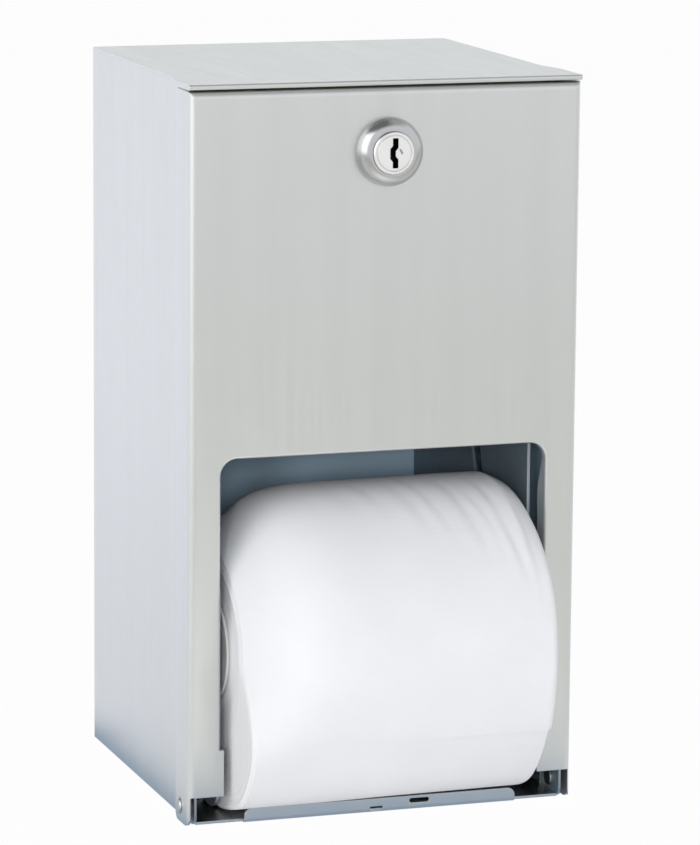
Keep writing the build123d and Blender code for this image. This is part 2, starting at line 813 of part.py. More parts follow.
# Right spring: one leg against the guide, the coil round the pin, one leg against the catch
with BuildPart() as right_spring:
    coil_radius = coil_bore_radius + wire / 2
    half_chord = (coil_radius**2 + (coil_pitch / 4) ** 2) ** 0.5
    with BuildLine() as wire_line:
        Line(
            spring_point(catch_pin_half - coil_radius, coil_front_back, catch_arm_high_level),
            spring_point(catch_pin_half - coil_radius, coil_front_back, catch_pin_level),
        )
        for turn in range(coil_half_turns):
            side_sign = -1 if turn % 2 == 0 else 1
            turn_back = coil_front_back + turn * coil_pitch / 2
            ThreePointArc(
                spring_point(catch_pin_half + side_sign * coil_radius, turn_back, catch_pin_level),
                spring_point(
                    catch_pin_half,
                    turn_back + coil_pitch / 4,
                    catch_pin_level + side_sign * half_chord,
                ),
                spring_point(
                    catch_pin_half - side_sign * coil_radius,
                    turn_back + coil_pitch / 2,
                    catch_pin_level,
                ),
            )
        Line(
            spring_point(catch_pin_half + coil_radius, coil_rear_back, catch_pin_level),
            spring_point(catch_pin_half + coil_radius, coil_rear_back, catch_arm_high_level),
        )
    spring_path = wire_line.wire()
    with BuildSketch(Plane(spring_path @ 0, z_dir=spring_path % 0)):
        Circle(wire / 2)
    sweep(path=spring_path)

with BuildPart() as left_spring:
    mirror(right_spring.part, about=Plane.YZ)


def least_gap(path, diameter, samples=600):
    """Smallest clear distance from a wound wire to itself, measured on points of its path."""
    points = [path @ (index / samples) for index in range(samples + 1)]
    apart = int(samples * 3 * diameter / path.length)
    nearest = min(
        (points[i] - points[j]).length
        for i in range(samples + 1)
        for j in range(i + apart, samples + 1)
    )
    return nearest - diameter


print("spring: least gap to itself", round(least_gap(spring_path, wire), 3), "mm")


# Rolls
def make_axle(seat):
    """Steel axle along X through a seat, whose ends are the journals."""
    with BuildPart() as axle:
        with BuildSketch(Plane.YZ):
            with Locations(seat):
                Circle(journal_radius)
        extrude(amount=journal_half, both=True)
        journal_ends = axle.edges().group_by(Axis.X)
        chamfer(journal_ends[0] + journal_ends[-1], length=journal_edge)
    return axle.part


def make_spindle(seat):
    """Moulding on an axle: a tube with ribs and discs that the roll's card core slips over."""
    with BuildPart() as spindle:
        with BuildSketch(Plane.YZ):
            with Locations(seat):
                Circle(spindle_rod_radius)
                with PolarLocations(0, spindle_rib_count):
                    Rectangle(spindle_rib_radius, spindle_rib, align=(Align.MIN, Align.CENTER))
                Circle(spindle_rib_radius, mode=Mode.INTERSECT)
        extrude(amount=spindle_half, both=True)
        disc_pitch = (2 * spindle_half - spindle_disc) / (spindle_disc_count - 1)
        for disc in range(spindle_disc_count):
            with BuildSketch(Plane.YZ.offset(disc * disc_pitch - spindle_half)):
                with Locations(seat):
                    Circle(spindle_rib_radius)
            extrude(amount=spindle_disc)
        with BuildSketch(Plane.YZ):
            with Locations(seat):
                Circle(journal_radius + running_gap)
        extrude(amount=journal_half, both=True, mode=Mode.SUBTRACT)
    return spindle.part


def make_core(seat, side):
    """Card tube of a roll, with its middle at a side place."""
    with BuildPart() as core:
        with BuildSketch(Plane.YZ.offset(side)):
            with Locations(seat):
                Circle(core_bore_radius + core_wall)
                Circle(core_bore_radius, mode=Mode.SUBTRACT)
        extrude(amount=paper_width / 2, both=True)
    return core.part


def make_paper(seat, side):
    """Wound paper: two half turns that end one step apart, where the free edge lies."""
    centre = Vector(*seat)

    def rim(angle, radius, middle):
        return middle + Vector(-cos(radians(angle)), sin(radians(angle))) * radius

    inner_radius = paper_radius - paper_edge_step / 2
    inner_centre = rim(free_edge_angle + 180, paper_edge_step / 2, centre)
    with BuildPart() as paper:
        with BuildSketch(Plane.YZ.offset(side)):
            with BuildLine():
                outer = ThreePointArc(
                    rim(free_edge_angle, paper_radius, centre),
                    rim(free_edge_angle + 90, paper_radius, centre),
                    rim(free_edge_angle + 180, paper_radius, centre),
                )
                inner = ThreePointArc(
                    outer @ 1,
                    rim(free_edge_angle + 270, inner_radius, inner_centre),
                    rim(free_edge_angle, inner_radius, inner_centre),
                )
                Line(inner @ 1, outer @ 0)
            make_face()
            with Locations(seat):
                Circle(core_bore_radius + core_wall, mode=Mode.SUBTRACT)
        extrude(amount=paper_width / 2, both=True)
    return paper.part


# Every piece under its own name
pieces = {
    "cabinet_body": cabinet_body.part,
    "cabinet_top": cabinet_top.part,
    "cabinet_floor": cabinet_floor.part,
    "door_panel": door_panel.part,
    "pivot_rivets": pivot_rivets.part,
    "pivot_washers": pivot_washers.part,
    "lock_housing": lock_housing.part,
    "lock_plug": lock_plug.part,
    "lock_washer": lock_washer.part,
    "lock_nut": lock_nut.part,
    "lock_cam": lock_cam.part,
    "cam_screw": cam_screw.part,
    "lock_keeper": lock_keeper.part,
    "left_guide": left_guide.part,
    "right_guide": right_guide.part,
    "guide_rivets": guide_rivets.part,
    "left_catch": left_catch.part,
    "right_catch": right_catch.part,
    "catch_pins": catch_pins.part,
    "left_spring": left_spring.part,
    "right_spring": right_spring.part,
    "lower_axle": make_axle(lower_spot),
    "lower_spindle": make_spindle(lower_spot),
    "lower_core": make_core(lower_spot, lower_roll_side),
    "lower_paper": make_paper(lower_spot, lower_roll_side),
    "upper_axle": make_axle(upper_spot),
    "upper_spindle": make_spindle(upper_spot),
    "upper_core": make_core(upper_spot, 0),
    "upper_paper": make_paper(upper_spot, 0),
}
for name, piece in pieces.items():
    piece.label = name
    export_step(piece, f"parts/{name}.step")
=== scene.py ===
"""Studio scene of a double roll toilet paper dispenser.

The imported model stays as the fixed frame. This file gives its sheet metal, lock, guides and
small parts their finishes, winds two soft paper rolls in place of the plain ones, and sets the
camera, the lamps and the floor. Lengths are in metres unless a name says otherwise.
"""

import logging
import math
from dataclasses import dataclass, field
from enum import Enum
from typing import Any, Callable, Mapping

import bpy
from mathutils import Matrix, Vector, noise


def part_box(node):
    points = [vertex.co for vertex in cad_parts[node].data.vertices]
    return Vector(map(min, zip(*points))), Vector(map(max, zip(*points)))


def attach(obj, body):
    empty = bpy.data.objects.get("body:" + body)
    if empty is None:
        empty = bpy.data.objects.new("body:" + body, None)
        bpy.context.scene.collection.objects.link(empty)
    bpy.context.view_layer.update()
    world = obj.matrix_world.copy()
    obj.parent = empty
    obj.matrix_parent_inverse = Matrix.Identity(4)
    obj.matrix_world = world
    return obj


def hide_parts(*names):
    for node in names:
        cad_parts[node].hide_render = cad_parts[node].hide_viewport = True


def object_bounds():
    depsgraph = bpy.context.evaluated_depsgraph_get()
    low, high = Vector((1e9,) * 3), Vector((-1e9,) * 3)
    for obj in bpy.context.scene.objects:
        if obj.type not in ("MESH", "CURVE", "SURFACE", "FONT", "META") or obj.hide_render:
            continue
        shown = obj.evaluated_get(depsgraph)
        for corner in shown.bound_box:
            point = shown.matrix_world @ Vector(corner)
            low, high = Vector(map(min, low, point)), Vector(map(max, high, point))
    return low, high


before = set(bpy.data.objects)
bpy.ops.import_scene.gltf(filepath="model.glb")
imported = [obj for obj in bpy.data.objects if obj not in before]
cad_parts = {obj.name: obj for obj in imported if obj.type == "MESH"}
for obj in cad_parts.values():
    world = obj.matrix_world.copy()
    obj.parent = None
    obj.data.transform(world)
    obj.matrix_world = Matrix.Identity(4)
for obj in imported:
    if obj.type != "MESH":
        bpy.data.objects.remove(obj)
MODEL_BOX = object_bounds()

log = logging.getLogger("dispenser")

MM = 0.001
TURN = 2 * math.pi

Colour = tuple[float, float, float]
Span = tuple[float, float]

NOISE_SPAN: Span = (0.3, 0.7)
"""Where nearly all values of a noise pattern lie."""


def smooth(low: float, high: float, value: float) -> float:
    """Rises smoothly from 0 at low to 1 at high.

    Args:
        low: Where the rise starts.
        high: Where the rise ends.
        value: The place to read.

    Returns:
        The height of the rise there, from 0 to 1.
    """
    share = min(max((value - low) / (high - low), 0.0), 1.0)
    return share * share * (3 - 2 * share)


def bell(centre: float, width: float, value: float) -> float:
    """Height of a soft bump, 1 at its centre, with the given half width."""
    return math.exp(-(((value - centre) / width) ** 2))


def plateau(start: float, full: float, falling: float, end: float, value: float) -> float:
    """Rises from 0 at start to 1 at full, and falls back from falling to 0 at end."""
    return smooth(start, full, value) * (1 - smooth(falling, end, value))


# Node graphs

NUMBER_RESULTS = ("DOT_PRODUCT", "LENGTH", "DISTANCE")
"""Vector maths that gives a number instead of a vector."""

MIX_SHARE, MIX_FIRST, MIX_SECOND, MIX_RESULT = 0, 6, 7, 2
"""Numbers of the mix node's colour sockets."""


class Graph:
    """Adds and links shader nodes in one node tree."""

    def __init__(self, tree: bpy.types.NodeTree) -> None:
        """Works on the given tree."""
        self.tree = tree

    def feed(self, node: bpy.types.Node, inputs: Mapping[str | int, Any]) -> None:
        """Links sockets to a node's inputs, and writes plain values on them.

        Args:
            node: The node.
            inputs: Value or socket for each input, by its name or number.
        """
        for key, value in inputs.items():
            if isinstance(value, bpy.types.NodeSocket):
                self.tree.links.new(value, node.inputs[key])
            else:
                node.inputs[key].default_value = value

    def add(
        self, kind: str, inputs: Mapping[str | int, Any] | None = None, **settings: Any
    ) -> bpy.types.Node:
        """Adds a node.

        Args:
            kind: The node's type name without its ShaderNode prefix.
            inputs: Value or socket for each input, by its name or number.
            settings: Properties of the node.

        Returns:
            The new node.
        """
        node = self.tree.nodes.new("ShaderNode" + kind)
        for key, value in settings.items():
            setattr(node, key, value)
        self.feed(node, inputs or {})
        return node

    def maths(self, operation: str, *values: Any, clamp: bool = False) -> bpy.types.NodeSocket:
        """Adds a maths node.

        Args:
            operation: The sum to do, such as MULTIPLY.
            values: Numbers or sockets.
            clamp: Whether the result stays between 0 and 1.

        Returns:
            The result's socket.
        """
        inputs = dict(enumerate(values))
        return self.add("Math", inputs, operation=operation, use_clamp=clamp).outputs[0]

    def vector(self, operation: str, *values: Any) -> bpy.types.NodeSocket:
        """Adds a vector maths node.

        Args:
            operation: The sum to do, such as MULTIPLY or LENGTH.
            values: Vectors or sockets.

        Returns:
            The socket of the resulting vector or number.
        """
        node = self.add("VectorMath", dict(enumerate(values)), operation=operation)
        return node.outputs["Value" if operation in NUMBER_RESULTS else "Vector"]

    def place(self) -> bpy.types.NodeSocket:
        """Gives the place on the surface."""
        return self.add("TexCoord").outputs["Object"]

    def normal(self) -> bpy.types.NodeSocket:
        """Gives the surface's own normal."""
        return self.add("NewGeometry").outputs["Normal"]

    def parts(self, vector: Any) -> bpy.types.NodeOutputs:
        """Splits a vector into the sockets of its X, Y and Z."""
        return self.add("SeparateXYZ", {0: vector}).outputs

    def moved(self, place: Any, step: tuple[float, float, float]) -> bpy.types.NodeSocket:
        """Moves a place by a step, so that a pattern is centred on a piece."""
        return self.add("Mapping", {"Vector": place, "Location": step}).outputs[0]

    def noise_at(
        self, place: Any, scale: Any, detail: float = 2.0, rough: float = 0.5, twist: float = 0.0
    ) -> bpy.types.NodeSocket:
        """Adds a noise pattern.

        Args:
            place: Where the pattern is read.
            scale: How fine it is.
            detail: How many finer layers it has.
            rough: How strong the finer layers are.
            twist: How much it is distorted.

        Returns:
            The pattern's socket.
        """
        node = self.add("TexNoise", {"Vector": place, "Scale": scale, "Detail": detail})
        self.feed(node, {"Roughness": rough, "Distortion": twist})
        return node.outputs[0]

    def bump(self, height: Any, distance: float, normal: Any = None) -> bpy.types.NodeSocket:
        """Adds a bump.

        Args:
            height: The pattern that stands up.
            distance: How high a value of 1 stands.
            normal: The normal that it bends, or None for the surface's own.

        Returns:
            The bent normal's socket.
        """
        node = self.add("Bump", {"Height": height, "Distance": distance})
        if normal is not None:
            self.feed(node, {"Normal": normal})
        return node.outputs[0]

    def span(
        self, value: Any, low: float, high: float, to_low: float, to_high: float
    ) -> bpy.types.NodeSocket:
        """Maps a span of values to another, held at both ends.

        Args:
            value: The socket to read.
            low: Value that gives to_low.
            high: Value that gives to_high.
            to_low: Result at low.
            to_high: Result at high.

        Returns:
            The result's socket.
        """
        node = self.add("MapRange", {"Value": value, "From Min": low, "From Max": high}, clamp=True)
        self.feed(node, {"To Min": to_low, "To Max": to_high})
        return node.outputs["Result"]

    def blend(self, share: Any, first: Any, second: Any) -> bpy.types.NodeSocket:
        """Mixes two colours.

        Args:
            share: How much of the second colour shows.
            first: Colour at 0.
            second: Colour at 1.

        Returns:
            The mixed colour's socket.
        """
        node = self.add("Mix", data_type="RGBA", blend_type="MIX", clamp_factor=True)
        self.feed(node, {MIX_SHARE: share})
        for number, tone in ((MIX_FIRST, first), (MIX_SECOND, second)):
            self.feed(node, {number: (*tone, 1.0) if isinstance(tone, tuple) else tone})
        return node.outputs[MIX_RESULT]


class Effect(Enum):
    """Surface effects that more than one finish uses, each a node group."""

    GRAIN = "polishing_grain"
    HANDLING = "handling_clouds"
    EDGES = "edge_wear"
    FIBRE = "paper_fibre"


FLOAT = "NodeSocketFloat"
VECTOR = "NodeSocketVector"


class EffectShelf:
    """Builds each effect group once and places it in materials."""

    STREAK_SCALE = 0.11
    MOTTLE_FINENESS = 9.0
    BEVEL_SAMPLES = 4
    WORN_AGREEMENT = (0.995, 0.86)
    CHIP_SCALE = 240.0
    PULP_COARSENESS = 0.06

    def __init__(self) -> None:
        """Starts with an empty shelf."""
        self.groups: dict[Effect, bpy.types.NodeTree] = {}
        self.makers: dict[Effect, Callable[[], bpy.types.NodeTree]] = {
            Effect.GRAIN: self.make_grain,
            Effect.HANDLING: self.make_handling,
            Effect.EDGES: self.make_edges,
            Effect.FIBRE: self.make_fibre,
        }

    def place(
        self, graph: Graph, effect: Effect, inputs: Mapping[str, Any]
    ) -> bpy.types.NodeOutputs:
        """Places an effect in a material.

        Args:
            graph: The material's graph.
            effect: Which effect.
            inputs: Values or sockets for the group's inputs.

        Returns:
            The group's outputs.
        """
        if effect not in self.groups:
            self.groups[effect] = self.makers[effect]()
        return graph.add("Group", inputs, node_tree=self.groups[effect]).outputs

    def start(
        self, effect: Effect, inputs: Mapping[str, str], outputs: Mapping[str, str]
    ) -> tuple[Graph, bpy.types.NodeOutputs, bpy.types.Node]:
        """Starts a node group.

        Args:
            effect: Names the group.
            inputs: Socket type of each input, by its name.
            outputs: Socket type of each output, by its name.

        Returns:
            The group's graph, what it is given and its output node.
        """
        tree = bpy.data.node_groups.new(effect.value, "ShaderNodeTree")
        for way, sockets in (("INPUT", inputs), ("OUTPUT", outputs)):
            for name, kind in sockets.items():
                tree.interface.new_socket(name=name, in_out=way, socket_type=kind)
        given = tree.nodes.new("NodeGroupInput").outputs
        return Graph(tree), given, tree.nodes.new("NodeGroupOutput")

    def make_grain(self) -> bpy.types.NodeTree:
        """Fine parallel lines with longer, fainter streaks among them."""
        graph, given, result = self.start(
            Effect.GRAIN, {"Vector": VECTOR, "Stretch": VECTOR}, {"Line": FLOAT, "Streak": FLOAT}
        )
        stretched = graph.vector("MULTIPLY", given["Vector"], given["Stretch"])
        line = graph.noise_at(stretched, 1.0, detail=3.0, rough=0.62)
        streak = graph.noise_at(stretched, self.STREAK_SCALE)
        graph.feed(result, {"Line": line, "Streak": streak})
        return graph.tree

    def make_handling(self) -> bpy.types.NodeTree:
        """Soft clouds of wiping and handling, with a finer mottle on them."""
        graph, given, result = self.start(
            Effect.HANDLING, {"Vector": VECTOR, "Scale": FLOAT}, {"Cloud": FLOAT, "Mottle": FLOAT}
        )
        place, scale = given["Vector"], given["Scale"]
        cloud = graph.noise_at(place, scale, detail=4.0, rough=0.55, twist=0.6)
        finer = graph.maths("MULTIPLY", scale, self.MOTTLE_FINENESS)
        mottle = graph.noise_at(place, finer, detail=3.0, rough=0.6)
        for name, pattern in (("Cloud", cloud), ("Mottle", mottle)):
            graph.feed(result, {name: graph.span(pattern, *NOISE_SPAN, 0.0, 1.0)})
        return graph.tree

    def make_edges(self) -> bpy.types.NodeTree:
        """Worn edges: a mask where the surface turns within a radius, and the softened normal."""
        graph, given, result = self.start(
            Effect.EDGES, {"Vector": VECTOR, "Radius": FLOAT}, {"Wear": FLOAT, "Normal": VECTOR}
        )
        bevel = graph.add("Bevel", {"Radius": given["Radius"]}, samples=self.BEVEL_SAMPLES)
        agree = graph.vector("DOT_PRODUCT", bevel.outputs[0], graph.normal())
        turned = graph.span(agree, *self.WORN_AGREEMENT, 0.0, 1.0)
        chips = graph.noise_at(given["Vector"], self.CHIP_SCALE, detail=4.0, rough=0.7)
        broken = graph.span(chips, 0.36, 0.6, 0.35, 1.0)
        wear = graph.maths("MULTIPLY", turned, broken, clamp=True)
        graph.feed(result, {"Wear": wear, "Normal": bevel.outputs[0]})
        return graph.tree

    def make_fibre(self) -> bpy.types.NodeTree:
        """Matted fibres, twisted at a fine scale, and the cloudy pulp under them."""
        graph, given, result = self.start(
            Effect.FIBRE, {"Vector": VECTOR, "Scale": FLOAT}, {"Fibre": FLOAT, "Cloud": FLOAT}
        )
        place, scale = given["Vector"], given["Scale"]
        fibre = graph.noise_at(place, scale, detail=5.0, rough=0.72, twist=1.4)
        coarse = graph.maths("MULTIPLY", scale, self.PULP_COARSENESS)
        graph.feed(result, {"Fibre": fibre, "Cloud": graph.noise_at(place, coarse, detail=3.0)})
        return graph.tree


class GrainRun(Enum):
    """Which way the polishing lines run; the value scales X, Y and Z so that they stretch."""

    UPRIGHT = (900.0, 900.0, 14.0)
    INWARD = (900.0, 14.0, 900.0)


def start_material(name: str) -> tuple[bpy.types.Material, Graph, bpy.types.Node]:
    """Starts a material.

    Args:
        name: Its name.

    Returns:
        The material, its graph and its Principled shader.
    """
    material = bpy.data.materials.new(name)
    material.use_nodes = True
    graph = Graph(material.node_tree)
    shader = material.node_tree.nodes["Principled BSDF"]
    return material, graph, shader


def shade(tone: Colour, factor: float) -> Colour:
    """Makes a colour lighter or darker by a factor."""
    return tuple(min(channel * factor, 1.0) for channel in tone)


@dataclass(frozen=True)
class InsideFinish:
    """Duller mill finish of the faces that look inwards, with painted shade low down towards the
    floor.
    """

    painted_shade_levels: Span
    tone: Colour = (0.44, 0.62, 0.77)
    scatter: float = 0.6
    share: float = 0.95
    # How strongly, and by what factor, painted shade darkens the inside faces low down.
    painted_shade_share: float = 0.85
    painted_shade_factor: float = 0.2
    facing_span: Span = (-12 * MM, -4 * MM)

    def mask(self, graph: Graph, place: bpy.types.NodeSocket) -> bpy.types.NodeSocket:
        """Finds the faces that look at the middle of the cabinet.

        Args:
            graph: The material's graph.
            place: The place on the surface.

        Returns:
            The mask's socket.
        """
        middle = (MODEL_BOX[0] + MODEL_BOX[1]) / 2
        outward = graph.vector("SUBTRACT", place, tuple(middle))
        facing = graph.vector("DOT_PRODUCT", outward, graph.normal())
        looks_in = graph.span(facing, *self.facing_span, 1.0, 0.0)
        return graph.maths("MULTIPLY", looks_in, self.share)

    def lay(
        self, graph: Graph, place: bpy.types.NodeSocket, outside: bpy.types.NodeSocket
    ) -> tuple[bpy.types.NodeSocket, bpy.types.NodeSocket]:
        """Lays the mill finish, with its painted shade low down, over the outer one.

        Args:
            graph: The material's graph.
            place: The place on the surface.
            outside: Tone of the outer finish.

        Returns:
            The sockets of the tone and of the metallic share.
        """
        inside = self.mask(graph, place)
        # Painted shade: the inside faces darken towards the bottom, standing in for the shade near
        # the floor.
        painted_shade = graph.span(graph.parts(place)[2], *self.painted_shade_levels, self.painted_shade_share, 0.0)
        dull = graph.blend(painted_shade, self.tone, shade(self.tone, self.painted_shade_factor))
        scattered = graph.maths("MULTIPLY", inside, self.scatter)
        return graph.blend(inside, outside, dull), graph.maths("SUBTRACT", 1.0, scattered)


@dataclass(frozen=True)
class CutEnds:
    """Cut ends of a sheet that face the front, between two depths and up to a height."""

    first_back: float
    last_back: float
    top: float
    tone: Colour
    soft_edge: float = 0.1 * MM
    facing_span: Span = (-0.9, -0.6)

    def mask(self, graph: Graph, place: bpy.types.NodeSocket) -> bpy.types.NodeSocket:
        """Finds the cut ends inside the zone.

        Args:
            graph: The material's graph.
            place: The place on the surface.

        Returns:
            The mask's socket.
        """
        _, depth, height = graph.parts(place)
        mask = graph.span(graph.parts(graph.normal())[1], *self.facing_span, 1.0, 0.0)
        for limit in (
            graph.span(depth, self.first_back - self.soft_edge, self.first_back, 0.0, 1.0),
            graph.span(depth, self.last_back, self.last_back + self.soft_edge, 1.0, 0.0),
            graph.span(height, self.top, self.top + self.soft_edge, 1.0, 0.0),
        ):
            mask = graph.maths("MULTIPLY", mask, limit)
        return mask


@dataclass(frozen=True)
class SheetSteel:
    """Satin sheet steel with polishing lines, wiping clouds and edges lightened as burnished wear,
    on the top and floor strongly enough to be a painted highlight.
    """

    name: str
    tone: Colour
    roughness: float
    run: GrainRun
    metallic: float = 1.0
    streak_share: float = 0.012
    streak_span: Span = (0.35, 0.65)
    line_height: float = 0.006 * MM
    line_roughness: float = 0.05
    cloud_scale: float = 14.0
    cloud_share: float = 0.3
    cloud_shade: float = 0.97
    smear_roughness: Span = (-0.02, 0.03)
    edge_radius: float = 0.45 * MM
    edge_share: float = 0.8
    edge_wear_and_highlight_gain: float = 1.05
    edge_polish: float = 0.08
    inside: InsideFinish | None = None
    cut: CutEnds | None = None

    def build(self, shelf: EffectShelf) -> bpy.types.Material:
        """Builds the material from the shared effects."""
        material, graph, shader = start_material(self.name)
        place = graph.place()
        grain = shelf.place(graph, Effect.GRAIN, {"Vector": place, "Stretch": self.run.value})
        clouds = shelf.place(graph, Effect.HANDLING, {"Vector": place, "Scale": self.cloud_scale})
        edges = shelf.place(graph, Effect.EDGES, {"Vector": place, "Radius": self.edge_radius})
        colour = graph.blend(
            graph.span(grain["Streak"], *self.streak_span, 0.0, 1.0),
            shade(self.tone, 1 - self.streak_share),
            shade(self.tone, 1 + self.streak_share),
        )
        # Clouds darken the tone; edges lighten it, as wear, and on the top and floor as a painted
        # highlight.
        for mask, share, factor in (
            (clouds["Cloud"], self.cloud_share, self.cloud_shade),
            (edges["Wear"], self.edge_share, self.edge_wear_and_highlight_gain),
        ):
            covered = graph.maths("MULTIPLY", mask, share)
            colour = graph.blend(covered, colour, shade(self.tone, factor))
        metallic: Any = self.metallic
        if self.inside:
            colour, metallic = self.inside.lay(graph, place, colour)
        if self.cut:
            colour = graph.blend(self.cut.mask(graph, place), colour, self.cut.tone)
        graph.feed(shader, {"Base Color": colour, "Metallic": metallic})
        least, most = self.roughness - self.line_roughness, self.roughness + self.line_roughness
        lines = graph.span(grain["Line"], *NOISE_SPAN, least, most)
        smears = graph.span(clouds["Mottle"], 0.0, 1.0, *self.smear_roughness)
        polish = graph.maths("MULTIPLY", edges["Wear"], self.edge_polish)
        rough = graph.maths("SUBTRACT", graph.maths("ADD", lines, smears), polish)
        bump = graph.bump(grain["Line"], self.line_height, edges["Normal"])
        graph.feed(shader, {"Roughness": rough, "Normal": bump})
        return material


@dataclass(frozen=True)
class TurnedChrome:
    """Bright plating over turned brass, with fine rings round the lock's axis."""

    name: str
    tone: Colour
    roughness: float
    axis: Span
    ring_fineness: float = 5200.0
    ring_height: float = 0.004 * MM
    ring_roughness: Span = (-0.03, 0.04)
    cloud_scale: float = 90.0
    cloud_shade: float = 0.95
    cloud_roughness: float = 0.05
    edge_radius: float = 0.22 * MM
    edge_share: float = 0.4
    edge_wear_and_highlight_gain: float = 1.1
    face: float | None = None
    # The keyway's recess gets a near black painted shade.
    keyway_span: Span = (0.15 * MM, 1.0 * MM)
    keyway_painted_shade_tone: Colour = (0.03, 0.028, 0.026)

    def build(self, shelf: EffectShelf) -> bpy.types.Material:
        """Builds the material; with a face, what lies behind it past the keyway span is near black,
        a painted shade for the keyway's recess.
        """
        material, graph, shader = start_material(self.name)
        place = graph.place()
        across, level = self.axis
        centred = graph.moved(place, (-across, 0.0, -level))
        radius = graph.vector("LENGTH", graph.vector("MULTIPLY", centred, (1.0, 0.0, 1.0)))
        rings = graph.add(
            "TexNoise",
            {"W": graph.maths("MULTIPLY", radius, self.ring_fineness), "Scale": 1.0, "Detail": 2.0},
            noise_dimensions="1D",
        ).outputs[0]
        clouds = shelf.place(graph, Effect.HANDLING, {"Vector": place, "Scale": self.cloud_scale})
        edges = shelf.place(graph, Effect.EDGES, {"Vector": place, "Radius": self.edge_radius})
        body = graph.blend(clouds["Cloud"], self.tone, shade(self.tone, self.cloud_shade))
        wear = graph.maths("MULTIPLY", edges["Wear"], self.edge_share)
        colour = graph.blend(wear, body, shade(self.tone, self.edge_wear_and_highlight_gain))
        if self.face is not None:
            # Painted shade: near black behind the plug's face, in the keyway.
            start, full = (self.face + depth for depth in self.keyway_span)
            keyway_shade = graph.span(graph.parts(place)[1], start, full, 0.0, 1.0)
            colour = graph.blend(keyway_shade, colour, self.keyway_painted_shade_tone)
        least, most = (self.roughness + change for change in self.ring_roughness)
        dulled = graph.maths("MULTIPLY", clouds["Mottle"], self.cloud_roughness)
        rough = graph.maths("ADD", graph.span(rings, *NOISE_SPAN, least, most), dulled)
        bump = graph.bump(rings, self.ring_height, edges["Normal"])
        graph.feed(shader, {"Base Color": colour, "Roughness": rough, "Normal": bump})
        graph.feed(shader, {"Metallic": 1.0})
        return material


@dataclass(frozen=True)
class PlatedPart:
    """Small plated or drawn steel parts: mottled plating, dulled in the clouds, bright at edges."""

    name: str
    tone: Colour
    dull_tone: Colour
    roughness: float
    mottle_roughness: Span = (-0.07, 0.1)
    mottle_height: float = 0.01 * MM
    cloud_scale: float = 120.0
    edge_radius: float = 0.25 * MM
    edge_wear_and_highlight_gain: float = 1.15

    def build(self, shelf: EffectShelf) -> bpy.types.Material:
        """Builds the material from the shared effects."""
        material, graph, shader = start_material(self.name)
        place = graph.place()
        clouds = shelf.place(graph, Effect.HANDLING, {"Vector": place, "Scale": self.cloud_scale})
        edges = shelf.place(graph, Effect.EDGES, {"Vector": place, "Radius": self.edge_radius})
        plating = graph.blend(clouds["Cloud"], self.tone, self.dull_tone)
        worn = graph.blend(edges["Wear"], plating, shade(self.tone, self.edge_wear_and_highlight_gain))
        least, most = (self.roughness + change for change in self.mottle_roughness)
        rough = graph.span(clouds["Mottle"], 0.0, 1.0, least, most)
        bump = graph.bump(clouds["Mottle"], self.mottle_height, edges["Normal"])
        graph.feed(shader, {"Base Color": worn, "Roughness": rough, "Normal": bump})
        graph.feed(shader, {"Metallic": 1.0})
        return material


@dataclass(frozen=True)
class Moulding:
    """Injection moulded plastic with a fine spark texture and rubbed edges."""

    name: str
    tone: Colour
    roughness: float
    spark_scale: float = 2600.0
    spark_roughness: float = 0.06
    texture_height: float = 0.02 * MM
    cloud_scale: float = 45.0
    cloud_shade: float = 0.93
    edge_radius: float = 0.4 * MM
    edge_share: float = 0.5
    edge_wear_and_highlight_gain: float = 1.12

    def build(self, shelf: EffectShelf) -> bpy.types.Material:
        """Builds the material from the shared effects."""
        material, graph, shader = start_material(self.name)
        place = graph.place()
        clouds = shelf.place(graph, Effect.HANDLING, {"Vector": place, "Scale": self.cloud_scale})
        spark = graph.noise_at(place, self.spark_scale)
        edges = shelf.place(graph, Effect.EDGES, {"Vector": place, "Radius": self.edge_radius})
        body = graph.blend(clouds["Cloud"], self.tone, shade(self.tone, self.cloud_shade))
        wear = graph.maths("MULTIPLY", edges["Wear"], self.edge_share)
        rubbed = graph.blend(wear, body, shade(self.tone, self.edge_wear_and_highlight_gain))
        least, most = self.roughness - self.spark_roughness, self.roughness + self.spark_roughness
        rough = graph.span(spark, *NOISE_SPAN, least, most)
        bump = graph.bump(spark, self.texture_height, edges["Normal"])
        graph.feed(shader, {"Base Color": rubbed, "Roughness": rough, "IOR": 1.5, "Normal": bump})
        return material


def turn_share(graph: Graph, centred: bpy.types.NodeSocket) -> bpy.types.NodeSocket:
    """Gives the share of a turn round an axis that runs along X."""
    _, inward, level = graph.parts(centred)
    return graph.maths("DIVIDE", graph.maths("ARCTAN2", level, inward), TURN)


